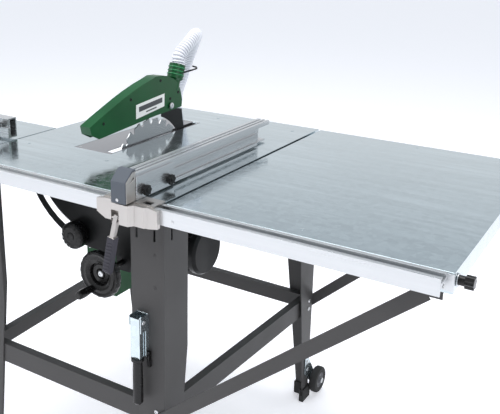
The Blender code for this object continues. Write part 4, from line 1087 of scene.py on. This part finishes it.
class SAW_OT_guard(BuildOperator, bpy.types.Operator):
    """Finish the blade guard and add its collar rings, screws, plate and hose hook"""

    bl_idname = "saw.guard"
    bl_label = "Blade guard"

    def build(self, context):
        eased("guard_shell", green_plastic(), 1.6, segments=3)
        face = GUARD_FACE
        plate = slab([(351, 110), (475, 121), (474, 85.5), (350, 72.5)], "X", face + 0.1, face + 1.3)
        shape("guard_plate", plate, coat("plain_white_plate"), "guard", ease=0.3)
        outlines = ([(362, 103), (464, 112), (464, 98.5), (362, 89.5)],
                    [(392, 87), (438, 91), (438, 87.5), (392, 83.5)])
        strips = joined(*[slab(outline, "X", face + 1.3, face + 1.6) for outline in outlines])
        shape("guard_plate_bars", strips, coat("plate_bar_grey"), "guard")
        rows = [((face, y, z), RIGHT, 4.2)
                for y, z in ((331, 128), (503, 101.5), (223, 85.5), (459, 158.5), (541, 114))]
        screws("guard_screws", "guard", rows, black_steel(), 0.6, "black_steel")
        rows = [((20.3, 502.6, 82), RIGHT, 9.0), ((-22.3, 502.6, 82), LEFT, 9.0)]
        screws("guard_pivot_cap", "guard", rows, None, 0.5, "blade_steel")
        rings = []
        for height in (28, 38, 48):
            band = ((22.9, -2.4), (25.0, -1.2), (25.4, 0), (25.0, 1.2), (22.9, 2.4))
            moved = turned("Z", (0, 0), [(radius, height + rise) for radius, rise in band], 40)
            bmesh.ops.translate(moved, verts=moved.verts, vec=Vector(COLLAR_BASE))
            rings.append(leaning(moved, COLLAR_LEAN, COLLAR_BASE))
        bend = bpy.data.meshes.new("hook_line")
        corners = [(20, 552, 168), (27, 560, 170), (32, 584, 172), (31, 610, 173), (22, 622, 174),
                   (6, 626, 175)]
        bend.from_pydata([spot(*corner) for corner in corners],
                         [(i, i + 1) for i in range(len(corners) - 1)], [])
        geometry_piece("hose_hook", tree_ribbed_tube, bend, "guard", "black_steel", Radius=0.0024,
                       Ring_Height=0.0, Ring_Pitch=0.01, Sides=10, Step=0.004, Material=black_steel())
        shape("collar_rings", joined(*rings), coat("collar_ring_green"), "guard")


class SAW_OT_fence(BuildOperator, bpy.types.Operator):
    """Finish the rip fence with its head, cap, plate and star knobs"""

    bl_idname = "saw.fence"
    bl_label = "Rip fence"

    def build(self, context):
        eased("fence_bar", aluminium("y"), 0.5)
        eased("fence_plate", aluminium("y"), 0.6)
        for node in ("fence_saddle", "fence_tower"):
            eased(node, coat("cast_alloy"), 1.0)
        eased("fence_cap", coat("slate_plastic"), 1.4, segments=3)
        for name in ("front", "rear"):
            eased(f"fence_knob_{name}", black_plastic(), 1.0)
        for name, y in (("front", 33.0), ("rear", 120.0)):
            dome = [(5.6, FENCE_SIDE + 17), (5.2, FENCE_SIDE + 18.4), (0, FENCE_SIDE + 19.0)]
            shape(f"fence_knob_cap_{name}", turned("X", (y, 22), dome, 24), black_plastic(),
                  f"fence_knob_{name}")
        screws("cap_rivet", "fence", [((265, -28.3, 12), FRONT, 3.6)], None, 0.5, "anodised_aluminium")
        x, y, z = FENCE_LEVER
        below = z - 42
        eased("fence_lever", coat("cast_alloy"), 0.9,
              zones=[(lambda p: p.z < below, coat("fence_grip_plastic"))])
        rows = []
        for step in [i / 8 for i in range(9)]:
            fall = 56 + 60 * step
            rows.append(((x - fall * LEVER_SLOPE, y - 15.2 - 3.8 * step, z - fall), FRONT, 1.0))
        bars("lever_ribs", "fence_lever", rows, (15.0, 2.6, 1.6), coat("fence_grip_plastic"),
             "black_plastic")


class SAW_OT_crosscut(BuildOperator, bpy.types.Operator):
    """Finish the crosscut fence, its clamp and knob and the guide rail"""

    bl_idname = "saw.crosscut"
    bl_label = "Crosscut fence"

    def build(self, context):
        eased("crosscut_bar", aluminium("x"), 0.5)
        eased("slide_rail", aluminium("y"), 0.5)
        for node in ("crosscut_knob", "crosscut_clamp"):
            eased(node, black_plastic(), 1.0)
        x, y, z = CROSS_KNOB
        cap = turned("Y", (x, z), [(5.6, y - 34), (5.2, y - 35.6), (0, y - 36.2)], 24)
        shape("crosscut_knob_cap", cap, black_plastic(), "crosscut_knob")


class SAW_OT_lever(BuildOperator, bpy.types.Operator):
    """Finish the folding transport lever with its bracket and catch"""

    bl_idname = "saw.lever"
    bl_label = "Transport lever"

    def build(self, context):
        x, y, z = LEG_LEVER
        below = z - 94
        eased("lever_bracket", zinc_sheet(), 0.5)
        eased("transport_lever", zinc_sheet(), 0.8,
              zones=[(lambda p: p.z < below, black_plastic())])
        eased("lever_catch", black_plastic(), 0.7)
        rows = [((x + 19.2, y, z), RIGHT, 5.4), ((x - 19.2, y, z), LEFT, 5.4),
                ((x - 8, 57.6, z - 19), FRONT, 4.0), ((x + 8, 57.6, z - 19), FRONT, 4.0)]
        screws("lever_pins", "frame", rows, None, 0.6, "blade_steel")


class SAW_OT_switch(BuildOperator, bpy.types.Operator):
    """Finish the switch box and its buttons"""

    bl_idname = "saw.switch"
    bl_label = "Switch"

    def build(self, context):
        eased("switch_box", coat("slate_plastic"), 1.6, segments=3)
        eased("start_button", coat("start_green"), 1.0, segments=3)
        eased("stop_button", coat("stop_red"), 1.4, segments=3)
        x, y, z = SWITCH
        rows = [((x + i * 30, y - 46.2, z + k * 56), FRONT, 3.2) for i in (-1, 1) for k in (-1, 1)]
        screws("switch_screws", "frame", rows, None, 0.5, "blade_steel")


def studio_world():
    """A studio that is white near the horizon and darker overhead, so that sheet metal shades off."""
    world = bpy.data.worlds.new("studio_white")
    world.use_nodes = True
    w = Wiring(world.node_tree)
    direction = w.node("ShaderNodeSeparateXYZ")
    w.link(w.node("ShaderNodeTexCoord").outputs["Generated"], direction.inputs[0])
    fall = w.spread(direction.outputs["Z"], 0.16, 0.50)
    back = w.node("ShaderNodeBackground")
    w.link(w.blend(fall, (0.97, 0.98, 1.0, 1.0), (0.46, 0.51, 0.56, 1.0)), back.inputs["Color"])
    back.inputs["Strength"].default_value = 1.0
    w.link(back.outputs[0], w.node("ShaderNodeOutputWorld").inputs["Surface"])
    return world


class SAW_OT_stage(BuildOperator, bpy.types.Operator):
    """Lay the pale floor and set the soft studio light"""

    bl_idname = "saw.stage"
    bl_label = "Floor and light"

    def build(self, context):
        half = sizes().floor_size / 2
        mesh = bpy.data.meshes.new("studio_floor")
        corners = [(-half, -half, 0), (half, -half, 0), (half, half, 0), (-half, half, 0)]
        mesh.from_pydata(corners, [], [(0, 1, 2, 3)])
        floor = new_object("studio_floor", mesh, coat("pale_studio_floor"))
        shader = floor.data.materials[0].node_tree.nodes["Principled BSDF"]
        shader.inputs["Emission Color"].default_value = (0.97, 0.96, 1.0, 1.0)
        shader.inputs["Emission Strength"].default_value = 0.34
        context.scene.world = studio_world()
        lights = (("key_softbox", (-2.6, -1.8, 3.6), (0.0, 0.1, 0.7), 2.2, 72.0),
                  ("overhead_softbox", (0.1, 0.2, 4.4), (0.1, 0.1, 0.8), 3.0, 115.0),
                  ("right_softbox", (3.6, -1.6, 3.0), (0.4, 0.0, 0.6), 1.8, 40.0))
        for name, place, aim, width, power in lights:
            lamp = bpy.data.lights.new(name, "AREA")
            lamp.shape = "SQUARE"
            lamp.size = width
            lamp.energy = power
            box = bpy.data.objects.new(name, lamp)
            context.scene.collection.objects.link(box)
            box.location = place
            box.rotation_euler = (Vector(aim) - Vector(place)).to_track_quat("-Z", "Y").to_euler()
        context.scene.view_settings.view_transform = "Standard"


BUILDERS = (SAW_OT_view, SAW_OT_hose, SAW_OT_tables, SAW_OT_rails, SAW_OT_legs, SAW_OT_casters, SAW_OT_tilt,
            SAW_OT_wheel, SAW_OT_drive, SAW_OT_blade, SAW_OT_guard, SAW_OT_fence, SAW_OT_crosscut,
            SAW_OT_lever, SAW_OT_switch, SAW_OT_stage)


class SAW_PT_panel(bpy.types.Panel):
    """Lists the saw's settings and the operators that build it."""

    bl_label = "Table Saw"
    bl_space_type = "VIEW_3D"
    bl_region_type = "UI"
    bl_category = "Table Saw"

    def draw(self, context):
        for group_of_settings in (context.scene.saw_sizes, context.scene.saw_colours):
            for name in group_of_settings.__annotations__:
                self.layout.prop(group_of_settings, name)
        for builder in BUILDERS:
            self.layout.operator(builder.bl_idname)


CLASSES = (SawSizes, SawColours, *BUILDERS, SAW_PT_panel)


def register():
    for cls in CLASSES:
        bpy.utils.register_class(cls)
    bpy.types.Scene.saw_sizes = bpy.props.PointerProperty(type=SawSizes)
    bpy.types.Scene.saw_colours = bpy.props.PointerProperty(type=SawColours)


def unregister():
    del bpy.types.Scene.saw_colours
    del bpy.types.Scene.saw_sizes
    for cls in reversed(CLASSES):
        bpy.utils.unregister_class(cls)


def main():
    register()
    for builder in BUILDERS:
        family, action = builder.bl_idname.split(".")
        getattr(getattr(bpy.ops, family), action)()


if __name__ == "__main__":
    main()
